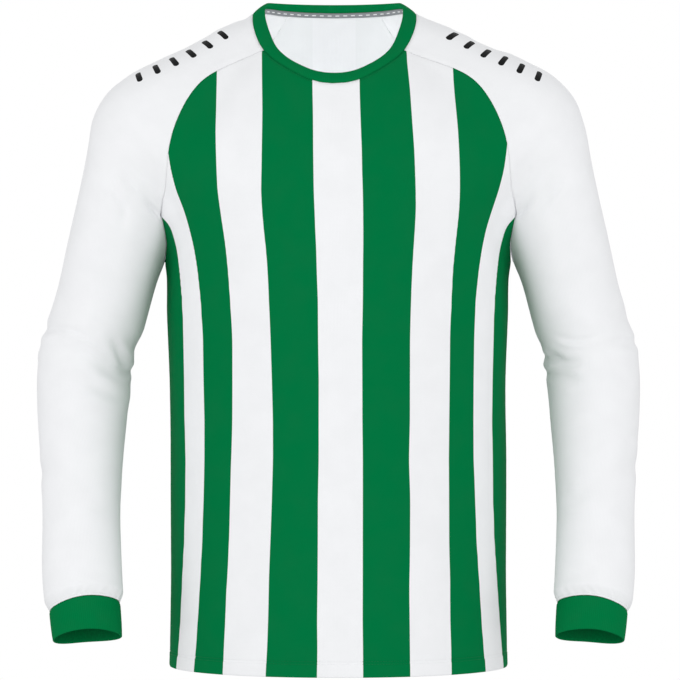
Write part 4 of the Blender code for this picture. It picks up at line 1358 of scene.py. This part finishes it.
def ribRing(name, points, flip):
    # points: ring places by profile places; the ring closes on itself, and so does the profile
    count, rows = points.shape[:2]
    places = np.arange(count * rows).reshape(count, rows)
    closed = np.pad(places, ((0, 1), (0, 1)), "wrap")
    grid = np.arange((count + 1) * (rows + 1)).reshape(count + 1, rows + 1)
    faces, corners = [quads(table)[:, [0, 3, 2, 1]] for table in (closed, grid)]
    if flip:
        faces, corners = faces[:, ::-1], corners[:, ::-1]
    piece = makeMesh(name, points.reshape(-1, 3), faces, (ribCloth,))[0]
    row = points[:, ribEdge["measureRow"]]
    around = stepLengths(np.concatenate([row, row[:1]]))
    along = stepLengths(points[0])
    along = np.concatenate([along, [along[-1] + cuff["wall"]]])
    uvRing = np.stack(np.broadcast_arrays(around[:, None], along[None]), -1)
    addUvMap(piece, "weave", uvRing.reshape(-1, 2), corners)
    return piece


def readNeckRing():
    # the closed neck seam, the way across the band to its free edge and the way out of the band
    rightTop = mirrored(leftGrid[0])[::-1]
    seam = np.concatenate([front["grid"][-1][:-1], leftGrid[0][:-1], back["grid"][-1][:0:-1], rightTop[:-1]])
    edge = neckEdge(ringAngle(seam))
    heading = unit(edge - seam)
    around = unit(np.roll(seam, -1, 0) - np.roll(seam, 1, 0))
    crown = unit(np.cross(heading, around))
    crown *= np.sign((crown * shape.normal(seam)).sum(1))[:, None]
    return {"seam": seam, "heading": heading, "crown": crown, "width": np.linalg.norm(edge - seam, axis=1)}


neckRing = readNeckRing()


def ringPoints(part, along, out):
    across = neckRing["heading"][part, None] * along[..., None]
    return neckRing["seam"][part, None] + across + neckRing["crown"][part, None] * out[..., None]


def addCollar():
    points = ringPoints(slice(None), *ribProfile(neckRing["width"], collar))
    return ribRing("collarBand", lean(points), False)


collarBand = addCollar()
print("collar made")


def addCuff(name, side, phase):
    count = cuff["columns"]
    angles = np.linspace(np.pi, -np.pi, count + 1)[:-1]
    along, out = ribProfile(np.full(count, cuff["length"]), cuff)
    dents = sum(depth * np.sin(waves * angles + shift * phase) for waves, shift, depth in cuff["dents"])
    points = np.zeros(along.shape + (3,))
    for row in range(along.shape[1]):
        share = float(along[0, row] / cuff["length"])
        stations = cuff["seamStation"] + share * cuff["length"] + cuffDrop(angles, share)
        base = shape.armPoints(stations, angles, cuffRadii(share, count))
        points[:, row] = base + unit(base - base.mean(0)) * (out[:, row] + dents * share)[:, None]
    return ribRing(name, mirrored(points) if side < 0 else points, side < 0)


cuffLeft = addCuff("cuffLeft", 1, 0.4)
cuffRight = addCuff("cuffRight", -1, 1.9)
print("cuffs made")


def addTape():
    # over the inside of the seam, from sleeve to sleeve round the back
    torso, sleeve = panels["torsoColumns"] * panels["finer"], panels["sleeveColumns"] * panels["finer"]
    part = slice(torso + sleeve - neckTape["sleeveColumns"],
                 2 * torso + sleeve + neckTape["sleeveColumns"] + 1)
    width = neckRing["width"][part, None]
    low, high = neckTape["reach"]
    along = np.linspace(low, high, neckTape["rows"])[None] + np.zeros_like(width)
    share = np.clip(along / width, 0, 1)
    out = collar["crown"] * 4 * share * (1 - share) - collar["wall"] - neckTape["gap"]
    outer = ringPoints(part, along, out).transpose(1, 0, 2)
    inner = ringPoints(part, along, out - neckTape["wall"]).transpose(1, 0, 2)
    faces, corners, kinds = shellFaces(*outer.shape[:2])
    piece = makeMesh("neckTape", bothSides(outer, inner), faces, (tapeCloth,), None, kinds == 2)[0]
    level = np.linspace(-0.5, 0.5, neckTape["rows"]) * (high - low)
    weave = np.stack(np.broadcast_arrays(stepLengths(outer[0])[None], level[:, None]), -1).reshape(-1, 2)
    addUvMap(piece, "weave", np.concatenate([weave, weave]), corners)
    return piece


tapePiece = addTape()
print("neck tape made")

# Stitches: a small thread capsule at each step along a path
stitching = {
    "pitch": 3.1,
    "length": 2.3,
    "thickness": 0.42,
    "hemRows": (14.2, 17.2),     # above the edge
    "hemRow": 6,                 # grid row beside them
    "hemLift": 0.1,
    "besideCuff": 2.6,
    "cuffLift": 0.08,
    "belowNeck": 2.6,
    "neckLift": 0.25,
    "ends": 2,                   # points left out at the ends of a neck row
}


def stitchTree(material):
    tree = bpy.data.node_groups.new("stitchRow", "GeometryNodeTree")
    tree.interface.new_socket("Geometry", in_out="INPUT", socket_type="NodeSocketGeometry")
    for name in ("Pitch", "Length", "Thickness"):
        tree.interface.new_socket(name, in_out="INPUT", socket_type="NodeSocketFloat")
    tree.interface.new_socket("Geometry", in_out="OUTPUT", socket_type="NodeSocketGeometry")
    given = addNode(tree, "NodeGroupInput")
    curve = addNode(tree, "GeometryNodeMeshToCurve", {0: given})
    steps = addNode(tree, "GeometryNodeResampleCurve", {"Curve": curve, "Length": given.outputs["Pitch"]},
                    mode="LENGTH")
    heading = addNode(tree, "GeometryNodeInputTangent")
    turned = addNode(tree, "FunctionNodeAlignEulerToVector", {"Vector": heading}, axis="Z")
    thread = addNode(tree, "GeometryNodeMeshUVSphere", {"Segments": 6, "Rings": 5, "Radius": 0.5})
    thickness = given.outputs["Thickness"]
    size = addNode(tree, "ShaderNodeCombineXYZ", {0: thickness, 1: thickness, 2: given.outputs["Length"]})
    sized = addNode(tree, "GeometryNodeTransform", {"Geometry": thread, "Scale": size})
    placed = addNode(tree, "GeometryNodeInstanceOnPoints",
                     {"Points": steps, "Instance": sized, "Rotation": turned})
    real = addNode(tree, "GeometryNodeRealizeInstances", {0: placed})
    finished = addNode(tree, "GeometryNodeSetMaterial", {"Geometry": real, "Material": material})
    addNode(tree, "NodeGroupOutput", {0: finished})
    return tree


def addStitches(name, paths, material):
    # paths: lists of points in mm and of stripe places
    edges = []
    start = 0
    for path, stripe in paths:
        edges += [(start + k, start + k + 1) for k in range(len(path) - 1)]
        start += len(path)
    mesh = bpy.data.meshes.new(name)
    mesh.from_pydata((np.concatenate([path for path, stripe in paths]) * mm).tolist(), edges, [])
    addPointValues(mesh, "stripe", np.concatenate([stripe for path, stripe in paths]))
    lines = bpy.data.objects.new(name + "Lines", mesh)
    bpy.context.scene.collection.objects.link(lines)
    tree = stitchTree(material)
    modifier = lines.modifiers.new("stitches", "NODES")
    modifier.node_group = tree
    for item in tree.interface.items_tree:
        if item.in_out == "INPUT" and item.name.lower() in stitching:
            modifier[item.identifier] = stitching[item.name.lower()] * mm
    graph = bpy.context.evaluated_depsgraph_get()
    made = bpy.data.meshes.new_from_object(lines.evaluated_get(graph))
    piece = bpy.data.objects.new(name, made)
    bpy.context.scene.collection.objects.link(piece)
    bpy.data.objects.remove(lines)
    made.shade_smooth()
    return piece


def rowAt(grid, lengths, place):
    # each column of a grid, read at one length along it
    return np.array([readColumns(place, lengths[:, c], grid[:, c]) for c in range(grid.shape[1])])


def hemPath(panel, height):
    # a row of points round a panel at a height above its hem
    lift = panel["ways"][stitching["hemRow"]] * stitching["hemLift"]
    stripe = rowAt(panel["stripe"][..., None], panel["up"], height)[:, 0]
    return lean(rowAt(panel["outer"], panel["up"], height) + lift), stripe


def cuffPath(sleeve):
    lengths = stepLengths(sleeve["outer"])
    line = rowAt(sleeve["outer"], lengths - lengths[-1], -stitching["besideCuff"])
    return line + sleeve["ways"][-3] * stitching["cuffLift"], np.zeros(len(line))


def neckPath():
    # a row just below the neck seam, on panels and sleeves
    runs = []
    ends = slice(stitching["ends"], -stitching["ends"])
    for panel in (front, sleeveLeft, back, sleeveRight):
        onSleeve = "stripe" not in panel
        outer = panel["outer"] if onSleeve else panel["outer"][::-1]
        ways = panel["ways"][1 if onSleeve else -2]
        down = unit(outer[3] - outer[0])
        points = lean(outer[0] + down * stitching["belowNeck"] + ways * stitching["neckLift"])
        stripe = np.zeros(len(points)) if onSleeve else panel["stripe"][-2]
        runs.append((points[ends], stripe[ends]))
    return runs


thread = makeThread()
hemPaths = [hemPath(panel, height) for panel in (front, back) for height in stitching["hemRows"]]
hemStitches = addStitches("hemStitches", hemPaths, thread)
cuffStitchesLeft = addStitches("cuffStitchesLeft", [cuffPath(sleeveLeft)], thread)
cuffStitchesRight = addStitches("cuffStitchesRight", [cuffPath(sleeveRight)], thread)
neckStitches = addStitches("neckStitches", neckPath(), thread)
print("stitches made")

# What each piece is: the node it stands for, its slot, the flat cut it was sewn from with its area,
# how it is held, what it rests on and the stitches on it
sleeves = ["sleeveLeft", "sleeveRight"]
bodyPanels = ["frontPanel", "backPanel"]
declarations = (
    (front["piece"], "front_panel", "striped_knit", (0.54, 0.69), 0.33, "hung", sleeves, [hemStitches]),
    (back["piece"], "back_panel", "striped_knit", (0.50, 0.74), 0.33, "hung", sleeves, []),
    (sleeveLeft["piece"], "sleeve_left", "white_knit", (0.36, 0.80), 0.24, "hung", bodyPanels,
     [cuffStitchesLeft]),
    (sleeveRight["piece"], "sleeve_right", "white_knit", (0.36, 0.80), 0.24, "hung", bodyPanels,
     [cuffStitchesRight]),
    (collarBand, "collar", "green_rib", (0.47, 0.02), None, "stretched", bodyPanels, [neckStitches]),
    (cuffLeft, "cuff_left", "green_rib", (0.225, 0.038), None, "stretched", ["sleeveLeft"], []),
    (cuffRight, "cuff_right", "green_rib", (0.225, 0.038), None, "stretched", ["sleeveRight"], []),
    (tapePiece, "neck_tape", "grey_tape", (0.26, 0.01), 0.0016, "stretched", ["collarBand"], []),
)
for piece, node, slot, flat, area, held, restsOn, sewnOn in declarations:
    for each in (piece, *sewnOn):
        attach(each, "root")
    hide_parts(node)

# Stage: plain pale floor, white surroundings, soft studio light, the photograph's viewpoint
studio = {
    "floorHeight": -1450.0,
    "floorHalf": 2600.0,
    "floorColour": "#d6d6d6",
    "surround": 1.0,
    "ambient": 0.71,
    "target": (0.0, 0.0, -0.35),
    "lights": (
        # x, y, z in metres, size in metres and watts
        (-3.0, -1.9, -0.1, 2.6, 24.0),
        (3.0, -1.9, -0.1, 2.6, 22.0),
        (0.0, -4.6, 0.2, 1.6, 39.0),
        (0.0, 3.4, 1.2, 2.4, 28.0),
    ),
    "insideLight": {             # a small lamp in the hollow, as photographers light an open neck
        "place": (0.0, -0.01, -0.28),
        "target": (0.0, 0.06, 0.02),
        "size": 0.12,
        "power": 0.34,
    },
    "clipEnd": 50.0,
}


def addFloor():
    half = studio["floorHalf"]
    signs = ((-1, -1), (1, -1), (1, 1), (-1, 1))
    corners = np.array([(x * half, y * half, studio["floorHeight"]) for x, y in signs])
    material, tree, shader = newMaterial("studioFloorPaint")
    setInputs(tree, shader, {"Base Color": srgb(studio["floorColour"]), "Roughness": 0.8})
    makeMesh("studioFloor", corners, np.array([[0, 1, 2, 3]]), (material,))[0]


def addWorld():
    world = bpy.data.worlds.new("studio")
    bpy.context.scene.world = world
    world.use_nodes = True
    tree = world.node_tree
    tree.nodes.clear()
    ray = addNode(tree, "ShaderNodeLightPath")
    strength = addNode(tree, "ShaderNodeMapRange",
                       {"Value": ray.outputs["Is Camera Ray"], "To Min": studio["ambient"],
                        "To Max": studio["surround"]})
    light = addNode(tree, "ShaderNodeBackground", {"Color": (1.0, 1.0, 1.0, 1.0), "Strength": strength})
    addNode(tree, "ShaderNodeOutputWorld", {"Surface": light})


def addLight(name, place, target, size, power):
    lamp = bpy.data.lights.new(name, "AREA")
    lamp.shape = "SQUARE"
    lamp.size = size
    lamp.energy = power
    holder = bpy.data.objects.new(name, lamp)
    bpy.context.scene.collection.objects.link(holder)
    holder.location = place
    holder.rotation_euler = (Vector(target) - Vector(place)).to_track_quat("-Z", "Y").to_euler()
    holder.visible_camera = False


def addCamera():
    camera = bpy.data.cameras.new("photoView")
    camera.lens = eye["lens"]
    camera.sensor_width = eye["sensor"]
    camera.clip_end = studio["clipEnd"]
    holder = bpy.data.objects.new("photoView", camera)
    bpy.context.scene.collection.objects.link(holder)
    holder.location = (eye["sideways"] * mm, -eye["distance"] * mm, eye["height"] * mm)
    holder.rotation_euler = (np.pi / 2, 0.0, 0.0)
    bpy.context.scene.camera = holder


addFloor()
addWorld()
for number, (x, y, z, size, power) in enumerate(studio["lights"]):
    addLight(f"softLight{number}", (x, y, z), studio["target"], size, power)
addLight("insideLight", **studio["insideLight"])
addCamera()
bpy.context.scene.view_settings.view_transform = "Standard"
print("studio made")

bpy.context.view_layer.update()
